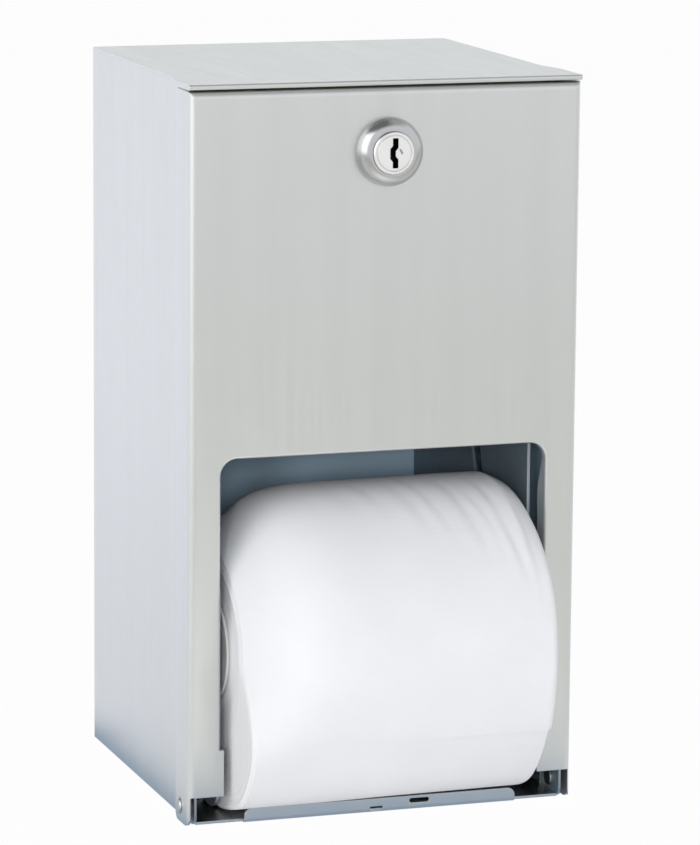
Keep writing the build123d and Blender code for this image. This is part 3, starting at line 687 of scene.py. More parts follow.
@dataclass(frozen=True)
class WoundCard:
    """Grey-brown card tube: fibres, and the spiral seam of its wound strip."""

    name: str
    tone: Colour
    seam_tone: Colour
    axis: Span
    seam_lead: float = 92 * MM
    seam_width: float = 0.012
    seam_depth: float = 2.0
    whole_turns: float = 10.0
    fibre_scale: float = 900.0
    fibre_span: Span = (0.35, 0.7)
    fibre_shades: Span = (0.86, 1.12)
    relief: float = 0.05 * MM
    roughness: float = 0.86

    def build(self, shelf: EffectShelf) -> bpy.types.Material:
        """Builds the material; the seam climbs along X as it goes round the tube's axis."""
        material, graph, shader = start_material(self.name)
        place = graph.place()
        inward, level = self.axis
        centred = graph.moved(place, (0.0, -inward, -level))
        along = graph.maths("DIVIDE", graph.parts(centred)[0], self.seam_lead)
        climb = graph.maths("ADD", along, turn_share(graph, centred))
        share = graph.maths("FRACT", graph.maths("ADD", climb, self.whole_turns))
        from_seam = graph.maths("ABSOLUTE", graph.maths("SUBTRACT", share, 0.5))
        seam = graph.span(from_seam, 0.0, self.seam_width, 1.0, 0.0)
        pulp = shelf.place(graph, Effect.FIBRE, {"Vector": place, "Scale": self.fibre_scale})
        fibre = pulp["Fibre"]
        dark, light = (shade(self.tone, factor) for factor in self.fibre_shades)
        speckled = graph.blend(graph.span(fibre, *self.fibre_span, 0.0, 1.0), dark, light)
        sunk = graph.maths("MULTIPLY", seam, self.seam_depth)
        bump = graph.bump(graph.maths("SUBTRACT", fibre, sunk), self.relief)
        colour = graph.blend(seam, speckled, self.seam_tone)
        graph.feed(shader, {"Base Color": colour, "Roughness": self.roughness, "Normal": bump})
        return material


@dataclass(frozen=True)
class Tissue:
    """Bleached tissue: faintly blue white, matted fibres and soft creping across the sheet."""

    name: str
    tone: Colour
    shadow_tone: Colour
    fibre_scale: float = 700.0
    fibre_height: float = 0.05 * MM
    pulp_span: Span = (0.35, 0.65)
    fleck_share: float = 0.3
    fleck_shade: float = 0.96
    crepe_stretch: tuple[float, float, float] = (60.0, 900.0, 900.0)
    crepe_height: float = 0.05 * MM
    roughness: float = 0.95
    specular: float = 0.15

    def build(self, shelf: EffectShelf) -> bpy.types.Material:
        """Builds the material from the shared effects."""
        material, graph, shader = start_material(self.name)
        place = graph.place()
        fibre = shelf.place(graph, Effect.FIBRE, {"Vector": place, "Scale": self.fibre_scale})
        pulp = graph.span(fibre["Cloud"], *self.pulp_span, 0.0, 1.0)
        body = graph.blend(pulp, self.tone, self.shadow_tone)
        flecks = graph.span(fibre["Fibre"], *NOISE_SPAN, self.fleck_share, 0.0)
        flecked = graph.blend(flecks, body, shade(self.shadow_tone, self.fleck_shade))
        crepe = graph.noise_at(graph.vector("MULTIPLY", place, self.crepe_stretch), 1.0)
        creped = graph.bump(crepe, self.crepe_height)
        bump = graph.bump(fibre["Fibre"], self.fibre_height, creped)
        graph.feed(shader, {"Base Color": flecked, "Roughness": self.roughness, "Normal": bump})
        graph.feed(shader, {"Specular IOR Level": self.specular})
        return material


@dataclass(frozen=True)
class TissueEnd:
    """Cut end of a wound roll: one fine spiral of plies round the roll's axis."""

    name: str
    tone: Colour
    gap_tone: Colour
    axis: Span
    ply_pitch: float = 0.85 * MM
    ply_height: float = 0.06 * MM
    ply_wander: float = 0.6
    wander_scale: float = 60.0
    fibre_scale: float = 1400.0
    fibre_span: Span = (0.35, 0.7)
    fleck_share: float = 0.35
    fibre_relief: float = 0.6
    roughness: float = 0.95
    specular: float = 0.1

    def build(self, shelf: EffectShelf) -> bpy.types.Material:
        """Builds the material; the spiral grows by one pitch for each turn."""
        material, graph, shader = start_material(self.name)
        place = graph.place()
        inward, level = self.axis
        centred = graph.moved(place, (0.0, -inward, -level))
        radius = graph.vector("LENGTH", graph.vector("MULTIPLY", centred, (0.0, 1.0, 1.0)))
        plies = graph.maths("DIVIDE", radius, self.ply_pitch)
        spiral = graph.maths("SUBTRACT", plies, turn_share(graph, centred))
        loose = graph.noise_at(place, self.wander_scale)
        wander = graph.span(loose, *NOISE_SPAN, -self.ply_wander, self.ply_wander)
        ply = graph.maths("PINGPONG", graph.maths("ADD", spiral, wander), 0.5)
        line = graph.span(ply, 0.0, 0.5, 0.0, 1.0)
        pulp = shelf.place(graph, Effect.FIBRE, {"Vector": place, "Scale": self.fibre_scale})
        fibre = pulp["Fibre"]
        flecks = graph.span(fibre, *self.fibre_span, self.fleck_share, 0.0)
        flecked = graph.blend(flecks, graph.blend(line, self.gap_tone, self.tone), self.gap_tone)
        height = graph.maths("ADD", line, graph.maths("MULTIPLY", fibre, self.fibre_relief))
        bump = graph.bump(height, self.ply_height)
        graph.feed(shader, {"Base Color": flecked, "Roughness": self.roughness, "Normal": bump})
        graph.feed(shader, {"Specular IOR Level": self.specular})
        return material


# Dressing and modelling helpers


def dress(node: str, material: bpy.types.Material) -> None:
    """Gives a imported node's material slots a finish.

    Args:
        node: The node's name.
        material: The finish.
    """
    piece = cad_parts[node]
    for place in piece.material_slots:
        place.material = material
    log.info("%s wears %s", node, material.name)


def clear_selection() -> None:
    """Deselects every object."""
    bpy.ops.object.select_all(action="DESELECT")


def settle(piece: bpy.types.Object, name: str) -> bpy.types.Object:
    """Names a finished piece and puts its place into its mesh.

    Args:
        piece: The active object, in object mode.
        name: Its name.

    Returns:
        The same object, at the origin.
    """
    piece.name = name
    piece.data.name = name
    bpy.ops.object.transform_apply(location=True, rotation=True, scale=True)
    return piece


def pick(piece: bpy.types.Object, kind: str, test: Callable[[Vector], bool]) -> None:
    """Selects vertices, edges or faces in edit mode by where their middle lies.

    Args:
        piece: The object being edited.
        kind: VERT, EDGE or FACE.
        test: Says whether an element with that middle, in world places, is picked.
    """
    bpy.ops.mesh.select_mode(type=kind)
    bpy.ops.mesh.select_all(action="DESELECT")
    bpy.ops.object.mode_set(mode="OBJECT")
    mesh, matrix = piece.data, piece.matrix_world
    for vertex in mesh.vertices:
        vertex.select = kind == "VERT" and test(matrix @ vertex.co)
    for edge in mesh.edges:
        ends = [matrix @ mesh.vertices[v].co for v in edge.vertices]
        edge.select = kind == "EDGE" and test((ends[0] + ends[1]) / 2)
    for face in mesh.polygons:
        face.select = kind == "FACE" and test(matrix @ face.center)
    bpy.ops.object.mode_set(mode="EDIT")


# The sub-assemblies


@dataclass
class Cabinet:
    """Fixed sheet metal and the door: body, top, floor, guides and what fastens them."""

    tone: Colour = (0.70, 0.709, 0.697)
    roughness: float = 0.36
    body_cut_tone: Colour = (0.48, 0.485, 0.48)
    body_cut_depth: float = 12 * MM
    door_inside_tone: Colour = (0.36, 0.395, 0.42)
    # Near black cut ends of the door's ears: painted shade for the dark gap at the bottom.
    door_cut_painted_shade_tone: Colour = (0.10, 0.10, 0.105)
    door_cut_depth: float = 17 * MM
    door_cut_height: float = 11 * MM
    guide_tone: Colour = (0.185, 0.23, 0.27)
    guide_roughness: float = 0.46
    guide_metallic: float = 0.4
    guide_cut_tone: Colour = (0.46, 0.51, 0.54)
    guide_cut_depth: float = 20 * MM
    # Heights over which the inside faces darken: painted shade near the floor.
    painted_shade_start: float = 14 * MM
    painted_shade_end: float = 46 * MM

    def body_steel(self) -> SheetSteel:
        """Steel of the folded body: fine outside, scattered mill finish inside, painted shade low
        down.
        """
        low, high = MODEL_BOX[0].z, MODEL_BOX[1].z
        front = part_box("cabinet_body")[0].y
        return SheetSteel(
            "satin_steel_body", self.tone, self.roughness, GrainRun.UPRIGHT, streak_share=0.008,
            inside=InsideFinish((low + self.painted_shade_start, low + self.painted_shade_end), scatter=0.85),
            cut=CutEnds(front, front + self.body_cut_depth, high, self.body_cut_tone),
        )

    def door_steel(self) -> SheetSteel:
        """Steel of the door; its ears' cut ends lie in the gap at the bottom and carry a near black
        painted shade.
        """
        low = MODEL_BOX[0].z
        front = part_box("door_panel")[0].y
        painted_shade = (low + self.painted_shade_start, low + self.painted_shade_end)
        top = low + self.door_cut_height
        return SheetSteel(
            "satin_steel_door", self.tone, self.roughness, GrainRun.UPRIGHT,
            inside=InsideFinish(painted_shade, tone=self.door_inside_tone),
            cut=CutEnds(front, front + self.door_cut_depth, top, self.door_cut_painted_shade_tone),
        )

    def inward_steel(self) -> SheetSteel:
        """Steel of the top and the floor, polished from front to back, with a painted highlight
        along its edges.
        """
        return SheetSteel(
            "satin_steel_inward", self.tone, self.roughness, GrainRun.INWARD,
            # The strong edge gain paints a highlight on the edges of the top and floor.
            streak_share=0.006, edge_wear_and_highlight_gain=1.25,
        )

    def guide_steel(self) -> SheetSteel:
        """Dull, even steel of the guides, with bright cut ends at the front."""
        front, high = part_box("door_panel")[0].y, MODEL_BOX[1].z
        return SheetSteel(
            "mill_steel_guide", self.guide_tone, self.guide_roughness, GrainRun.UPRIGHT,
            metallic=self.guide_metallic, streak_share=0.0, cloud_shade=1.0, edge_wear_and_highlight_gain=1.0,
            cut=CutEnds(front, front + self.guide_cut_depth, high, self.guide_cut_tone),
        )

    def dress(self, shelf: EffectShelf) -> None:
        """Gives the sheets, their fasteners and the lock's hidden parts their finishes."""
        rivet = PlatedPart("rivet_steel", (0.66, 0.67, 0.66), (0.56, 0.57, 0.56), 0.36)
        plated = PlatedPart("zinc_plating", (0.60, 0.62, 0.64), (0.44, 0.46, 0.50), 0.38)
        plated_nodes = (
            "lock_keeper", "lock_washer", "lock_nut", "lock_cam", "cam_screw",
            "left_catch", "right_catch",
        )
        for finish, nodes in (
            (self.body_steel(), ("cabinet_body",)),
            (self.door_steel(), ("door_panel",)),
            (self.inward_steel(), ("cabinet_top", "cabinet_floor")),
            (self.guide_steel(), ("left_guide", "right_guide")),
            (rivet, ("pivot_rivets", "guide_rivets", "catch_pins", "lower_axle", "upper_axle")),
            (plated, plated_nodes),
            (Moulding("washer_nylon", (0.72, 0.71, 0.66), 0.45), ("pivot_washers",)),
        ):
            material = finish.build(shelf)
            for node in nodes:
                dress(node, material)


@dataclass
class Lock:
    """Key lock in the door: plated bezel and plug."""

    tone: Colour = (0.55, 0.55, 0.555)
    roughness: float = 0.17
    plug_tone: Colour = (0.95, 0.94, 0.925)
    plug_roughness: float = 0.31

    def dress(self, shelf: EffectShelf) -> None:
        """Gives the bezel and the plug their plating, ringed round their own axis."""
        low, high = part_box("lock_plug")
        axis = ((low.x + high.x) / 2, (low.z + high.z) / 2)
        bezel = TurnedChrome("lock_bezel_chrome", self.tone, self.roughness, axis)
        plug = TurnedChrome(
            "lock_plug_chrome", self.plug_tone, self.plug_roughness, axis, face=low.y
        )
        dress("lock_housing", bezel.build(shelf))
        dress("lock_plug", plug.build(shelf))


@dataclass
class Springs:
    """Wound springs of the two catches."""

    tone: Colour = (0.42, 0.41, 0.40)
    dull_shade: float = 0.8
    roughness: float = 0.3

    def dress(self, shelf: EffectShelf) -> None:
        """Gives both springs drawn wire."""
        dull = shade(self.tone, self.dull_shade)
        wire = PlatedPart("spring_wire", self.tone, dull, self.roughness).build(shelf)
        for node in ("left_spring", "right_spring"):
            dress(node, wire)


CREASE_FADE = 22.0
"""Degrees over which a crease fades out at both ends."""


@dataclass(frozen=True)
class Crease:
    """One crease by the right rim of a roll; its lengths are in millimetres.

    It lies start from the rim at 45 degrees and moves by slant for each radian. It runs from first
    to last, in degrees round the roll from the front upwards.
    """

    start: float
    slant: float
    depth: float
    width: float
    first: float
    last: float

    def drop(self, angle: float, from_right: float) -> float:
        """How far the crease lowers the paper.

        Args:
            angle: Angle round the roll.
            from_right: Distance from the right rim.

        Returns:
            The drop towards the axis, below 0 on the ridge beside the crease.
        """
        wander = 1.6 * MM * noise.noise(Vector((self.start, angle * 2.6, 1.3)))
        line = self.start * MM + self.slant * MM * (angle - math.radians(45)) + wander
        ends = (self.first, self.first + CREASE_FADE, self.last - CREASE_FADE, self.last)
        run = plateau(*map(math.radians, ends), angle)
        run *= 0.75 + 0.6 * noise.noise(Vector((self.start + 4.0, angle * 4.0, 5.2)))
        width = self.width * MM
        ridge = bell(line + 1.7 * width, 1.2 * width, from_right)
        fold = bell(line, width, from_right) - 0.6 * ridge
        return run * self.depth * MM * fold


CREASES = (
    Crease(6.0, 3.0, 0.20, 1.2, 10, 86),
    Crease(11.5, 8.0, 0.38, 1.7, 22, 94),
    Crease(17.0, 12.0, 0.24, 1.4, 40, 82),
    Crease(24.0, 9.0, 0.34, 2.3, 32, 92),
    Crease(33.0, 14.0, 0.28, 2.0, 44, 98),
    Crease(42.0, 12.0, 0.20, 2.8, 38, 90),
    Crease(53.0, 16.0, 0.20, 2.4, 52, 100),
    Crease(67.0, 10.0, 0.15, 3.4, 58, 100),
)


@dataclass
class PaperRoll:
    """One wound roll: its paper, its loose outer sheet and the finish of its core."""

    name: str
    body: str
    crushed: bool = False
    steps: int = 260
    across_cuts: int = 110
    wall_cuts: int = 34
    rim_radius: float = 1.6 * MM
    end_swing: float = 0.3 * MM
    end_ring: float = 0.22 * MM
    end_inset: float = 0.35 * MM
    hollow: float = 0.35 * MM
    hollow_swing: float = 0.45 * MM
    shoulder_reach: float = 11.5 * MM
    shoulder_drop: float = 22 * MM
    shoulder_power: float = 1.25
    shoulder_degrees: tuple[float, ...] = (-38, 4, 122, 174)
    corner_reach: float = 8 * MM
    corner_drop: float = 4 * MM
    corner_power: float = 1.1
    corner_degrees: tuple[float, ...] = (25, 65, 130, 175)
    sag: float = 2.2 * MM
    sag_angle: float = math.radians(-88)
    belly: float = 3.6 * MM
    belly_angle: float = math.radians(-56)
    sag_width: float = math.radians(16)
    resting_angle: float = math.radians(-74)
    resting_sag: float = 1.9 * MM
    free_edge_angle: float = math.radians(-27)
    last_angle: float = math.radians(76)
    sheet_inset: float = 0.4 * MM
    sheet_lift: float = 0.9 * MM
    sheet_thickness: float = 0.14 * MM
    end_tone: Colour = (0.88, 0.885, 0.90)
    end_gap_tone: Colour = (0.83, 0.835, 0.85)
    card_tone: Colour = (0.70, 0.68, 0.645)
    card_seam_tone: Colour = (0.58, 0.56, 0.52)
    low: Vector = field(init=False)
    high: Vector = field(init=False)
    centre: Vector = field(init=False)
    width: float = field(init=False)
    core_radius: float = field(init=False)
    radius: float = field(init=False)

    def __post_init__(self) -> None:
        """Reads the roll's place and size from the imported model."""
        self.low, self.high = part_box(f"{self.name}_paper")
        core_low, core_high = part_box(f"{self.name}_core")
        self.centre = (core_low + core_high) / 2
        self.width = self.high.x - self.low.x
        self.core_radius = (core_high.z - core_low.z) / 2
        self.radius = (self.high.z - self.low.z) / 2

    def shape(self, point: Vector) -> Vector:
        """Moves a point of the plain winding to where the soft roll has it.

        Args:
            point: A point of the plain winding.

        Returns:
            The moved point.
        """
        centre = self.centre
        inward, level = point.y - centre.y, point.z - centre.z
        radius = math.hypot(inward, level)
        angle = math.atan2(level, -inward)
        round_x, round_y = math.cos(angle), math.sin(angle)
        from_left, from_right = point.x - self.low.x, self.high.x - point.x
        edge = min(from_left, from_right)
        depth = (radius - self.core_radius) / (self.radius - self.core_radius)
        moved_x = point.x
        # Rounded rims, and ends whose winding is a little uneven
        rounding = max(0.0, 1 - edge / self.rim_radius)
        drop = self.rim_radius * (1 - math.sqrt(max(0.0, 1 - rounding**2)))
        drop *= smooth(0.8, 1.0, depth)
        if edge < 0.2 * MM and 0.02 < depth < 0.98:
            ring = noise.noise(Vector((radius * 900, from_left * 40, 3.1)))
            swing = noise.noise(Vector((round_x * 1.4, round_y * 1.4, radius * 60)))
            inset = self.end_inset + self.end_ring * ring + self.end_swing * swing
            side = 1 if from_left < from_right else -1
            moved_x += side * inset * smooth(0.02, 0.1, depth)
        # Soft hollows of a loosely wound outer layer
        wave = noise.noise(Vector((point.x * 22, round_x * 2.3, round_y * 2.3)))
        drop += (self.hollow + self.hollow_swing * wave) * smooth(0.5, 1.0, depth)
        if self.crushed:
            drop += self.crush(from_left, from_right, angle, depth)
        scale = max(radius - drop, self.core_radius) / radius
        return Vector((moved_x, centre.y + inward * scale, centre.z + level * scale))

    def crush(self, from_left: float, from_right: float, angle: float, depth: float) -> float:
        """How far the crushed shoulder, the creases and the sag move the paper.

        Args:
            from_left: Distance from the left rim.
            from_right: Distance from the right rim.
            angle: Angle round the roll, from the front upwards.
            depth: Share of the winding, 0 at the core and 1 outside.

        Returns:
            The drop towards the axis, below 0 where the paper hangs out.
        """
        near_left = math.exp(-((from_left / self.shoulder_reach) ** self.shoulder_power))
        facing = plateau(*map(math.radians, self.shoulder_degrees), angle)
        drop = self.shoulder_drop * near_left * facing * smooth(0.1, 1.0, depth)
        near_right = max(0.0, 1 - from_right / self.corner_reach) ** self.corner_power
        facing = plateau(*map(math.radians, self.corner_degrees), angle)
        drop += self.corner_drop * near_right * facing * smooth(0.3, 1.0, depth)
        creased = sum(crease.drop(angle, from_right) for crease in CREASES)
        drop += creased * smooth(0.9, 1.0, depth)
        # The loose winding sags on its spindle, most at the crushed end
        hang = self.sag * bell(self.sag_angle, self.sag_width, angle)
        hang += self.belly * bell(self.belly_angle, self.sag_width, angle)
        drop -= hang * (1 - 0.5 * from_left / self.width) * smooth(0.3, 1.0, depth)
        # Underneath, it stays clear of the floor sheet
        return max(drop, -self.resting_sag) if angle < self.resting_angle else drop

    def wind(self) -> bpy.types.Object:
        """Spins the roll's section round its axis and shapes it.

        Returns:
            The finished roll.
        """
        clear_selection()
        centre, half = self.centre, self.width / 2
        wall = self.radius - self.core_radius
        middle_x, level = self.low.x + half, centre.z + self.core_radius + wall / 2
        middle = Vector((middle_x, centre.y, level))
        bpy.ops.mesh.primitive_plane_add(size=1, location=middle, rotation=(math.pi / 2, 0, 0))
        piece = bpy.context.object
        bpy.ops.object.mode_set(mode="EDIT")
        bpy.ops.transform.resize(value=(self.width, 1, wall), center_override=middle)
        bpy.ops.mesh.delete(type="ONLY_FACE")
        pick(piece, "EDGE", lambda spot: abs(spot.x - middle_x) < half / 2)
        bpy.ops.mesh.subdivide(number_cuts=self.across_cuts)
        pick(piece, "EDGE", lambda spot: abs(spot.x - middle_x) > half * 0.9999)
        bpy.ops.mesh.subdivide(number_cuts=self.wall_cuts)
        bpy.ops.mesh.select_all(action="SELECT")
        bpy.ops.mesh.spin(
            steps=self.steps, angle=TURN, center=centre, axis=(1, 0, 0), use_auto_merge=True
        )
        bpy.ops.mesh.select_all(action="SELECT")
        bpy.ops.mesh.remove_doubles(threshold=0.01 * MM)
        bpy.ops.mesh.normals_make_consistent(inside=False)
        bpy.ops.object.mode_set(mode="OBJECT")
        settle(piece, f"{self.name}_roll_paper")
        for vertex in piece.data.vertices:
            vertex.co = self.shape(vertex.co)
        bpy.ops.object.shade_smooth_by_angle(angle=math.radians(40))
        return piece

    def lift(self, across: float, along: float) -> float:
        """How far the loose sheet stands off the roll.

        Args:
            across: Share of the sheet's width, from the left.
            along: Share of its length, from the free edge upwards.

        Returns:
            The gap, below 0 where the sheet goes into the winding.
        """
        lifted = (0.03 + 0.09 * smooth(0.0, 0.12, across)) * MM
        curl = (1 - smooth(0.0, 0.16, along)) * (0.25 + 0.75 * smooth(0.1, 0.75, across))
        merged = smooth(0.82, 1.0, along)
        return (lifted + self.sheet_lift * curl) * (1 - merged) - 0.06 * MM * merged

    def outer_sheet(self) -> bpy.types.Object:
        """Lays the loose end of the paper over the front of the roll.

        Returns:
            The finished sheet.
        """
        clear_selection()
        centre = self.centre
        bpy.ops.mesh.primitive_grid_add(
            x_subdivisions=120, y_subdivisions=70, size=1, location=centre
        )
        piece = bpy.context.object
        width = self.width - 2 * self.sheet_inset
        for vertex in piece.data.vertices:
            across, along = vertex.co.x + 0.5, vertex.co.y + 0.5
            angle = self.free_edge_angle + (self.last_angle - self.free_edge_angle) * along
            x = self.low.x + self.sheet_inset + width * across
            ragged = 0.25 * MM * noise.noise(Vector((x * 420, 0.0, 7.7)))
            angle += ragged * (1 - smooth(0.0, 0.03, along)) / self.radius
            ahead, above = math.cos(angle) * self.radius, math.sin(angle) * self.radius
            lying = self.shape(Vector((x, centre.y - ahead, centre.z + above)))
            out = Vector((0.0, lying.y - centre.y, lying.z - centre.z)).normalized()
            vertex.co = lying + out * self.lift(across, along) - centre
        thick = piece.modifiers.new("thickness", "SOLIDIFY")
        thick.thickness = self.sheet_thickness
        thick.offset = -1.0
        bpy.ops.object.modifier_apply(modifier=thick.name)
        bpy.ops.object.mode_set(mode="EDIT")
        bpy.ops.mesh.select_all(action="SELECT")
        bpy.ops.mesh.normals_make_consistent(inside=False)
        bpy.ops.object.mode_set(mode="OBJECT")
        settle(piece, f"{self.name}_roll_outer_sheet")
        bpy.ops.object.shade_smooth_by_angle(angle=math.radians(50))
        return piece

    def build(self, shelf: EffectShelf, tissue: bpy.types.Material) -> None:
        """Winds the roll, lays its outer sheet and dresses its core.

        Args:
            shelf: The shared effects.
            tissue: Finish of the paper.
        """
        axis = (self.centre.y, self.centre.z)
        end = TissueEnd(f"{self.name}_tissue_end", self.end_tone, self.end_gap_tone, axis)
        paper = self.wind()
        paper.data.materials.append(tissue)
        paper.data.materials.append(end.build(shelf))
        for face in paper.data.polygons:
            from_end = min(face.center.x - self.low.x, self.high.x - face.center.x)
            at_end = from_end < 1.0 * MM and abs(face.normal.x) > 0.5
            face.material_index = 1 if at_end else 0
        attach(paper, self.body)
        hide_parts(f"{self.name}_paper")
        sheet = self.outer_sheet()
        sheet.data.materials.append(tissue)
        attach(sheet, self.body)
        card = WoundCard(f"{self.name}_core_card", self.card_tone, self.card_seam_tone, axis)
        dress(f"{self.name}_core", card.build(shelf))
        for piece in (paper, sheet):
            log.info("%s: %d faces", piece.name, len(piece.data.polygons))


# The studio


@dataclass(frozen=True)
class Lamp:
    """A square soft lamp that faces the object.

    It stands turn degrees from straight in front, positive to the right, rise degrees above the
    object's middle and reach away from it.
    """

    name: str
    turn: float
    rise: float
    reach: float
    side: float
    watts: float
    colour: Colour = (1.0, 1.0, 1.0)
    mirrored: bool = False

    def add(self) -> bpy.types.Object:
        """Adds the lamp.

        Returns:
            The lamp.
        """
        middle = (MODEL_BOX[0] + MODEL_BOX[1]) / 2
        turn, rise = math.radians(self.turn), math.radians(self.rise)
        ahead = math.cos(rise)
        away = Vector((math.sin(turn) * ahead, -math.cos(turn) * ahead, math.sin(rise)))
        place = middle + away * self.reach
        bpy.ops.object.light_add(type="AREA", location=place)
        lamp = bpy.context.object
        lamp.name = self.name
        lamp.data.shape = "SQUARE"
        lamp.data.size = self.side
        lamp.data.energy = self.watts
        lamp.data.color = self.colour
        lamp.visible_glossy = self.mirrored
        lamp.rotation_mode = "QUATERNION"
        lamp.rotation_quaternion = (middle - place).to_track_quat("-Z", "Y")
        return lamp


LAMPS = (
    Lamp("front_lamp", -17.0, 10.0, 2.3, 0.25, 13.0, (1.0, 0.995, 0.99)),
    Lamp("key_lamp", -27.0, 9.0, 2.3, 0.22, 9.0, (1.0, 1.0, 0.99)),
    Lamp("left_lamp", -62.0, 20.0, 1.9, 1.9, 11.5, mirrored=True),
    Lamp("right_lamp", 45.0, 10.0, 2.1, 1.2, 2.5, (0.98, 0.99, 1.0)),
)


@dataclass(frozen=True)
class MirroredFloor:
    """The floor as the steel mirrors it, with painted shade close to the object and painted light
    further out; spans are distances ahead of the door's front.
    """

    near_tone: Colour = (0.82, 0.825, 0.80)
    middle_tone: Colour = (0.60, 0.61, 0.565)
    middle_span: Span = (0.12, 0.75)
    far_tone: Colour = (0.955, 0.97, 0.99)
    far_span: Span = (0.70, 1.5)
    painted_light_patch_tone: Colour = (1.35, 1.35, 1.30)
    painted_light_patch_place: Span = (-0.01, 0.21)
    painted_light_patch_span: Span = (0.04, 0.18)
    painted_light_patch_share: float = 0.9
    back_tone: Colour = (0.89, 0.915, 0.99)
    far_back_tone: Colour = (1.05, 1.08, 1.17)
    far_back_span: Span = (-0.2, -1.0)
    back_span: Span = (0.1, -0.15)
    contact_shadow_tone: Colour = (0.33, 0.42, 0.54)
    contact_shadow_ahead: Span = (0.035, 0.075)
    contact_shadow_behind: Span = (-0.2, -0.15)
    contact_shadow_beside: Span = (0.0, 0.02)

    def tone(self, graph: Graph, front: float, level: float) -> bpy.types.NodeSocket:
        """Shades the floor close to the object and makes it whiter further out.

        Args:
            graph: The floor's graph.
            front: Where the door's front lies.
            level: Height of the floor.

        Returns:
            The tone's socket.
        """
        spot = graph.place()
        across, depth, _ = graph.parts(spot)
        ahead = graph.maths("SUBTRACT", front, depth)

        def over(span: Span, low: float = 0.0, high: float = 1.0) -> bpy.types.NodeSocket:
            """Maps a span ahead of the door's front to a share."""
            return graph.span(ahead, *span, low, high)

        # Painted shade close to the object, whiter further ahead.
        ground = graph.blend(over(self.middle_span), self.near_tone, self.middle_tone)
        ground = graph.blend(over(self.far_span), ground, self.far_tone)
        # Painted pool of light: a spot brighter than white on the floor ahead of the door, seen
        # only in the steel.
        light_patch_x, light_patch_ahead = self.painted_light_patch_place
        from_light_patch = graph.vector("DISTANCE", spot, (light_patch_x, front - light_patch_ahead, level))
        painted_light_patch = graph.span(from_light_patch, *self.painted_light_patch_span, self.painted_light_patch_share, 0.0)
        ground = graph.blend(painted_light_patch, ground, self.painted_light_patch_tone)
        # Painted light behind the object: brighter than white and bluish.
        back = graph.blend(over(self.far_back_span), self.back_tone, self.far_back_tone)
        ground = graph.blend(over(self.back_span), ground, back)
        # Painted contact shadow under and just ahead of the cabinet, seen only in the steel.
        beside = graph.maths("SUBTRACT", graph.maths("ABSOLUTE", across), MODEL_BOX[1].x)
        contact_shadow = graph.span(beside, *self.contact_shadow_beside, 1.0, 0.0)
        contact_shadow = graph.maths("MULTIPLY", over(self.contact_shadow_ahead, 1.0, 0.0), contact_shadow)
        contact_shadow = graph.maths("MULTIPLY", contact_shadow, over(self.contact_shadow_behind))
        return graph.blend(contact_shadow, ground, self.contact_shadow_tone)


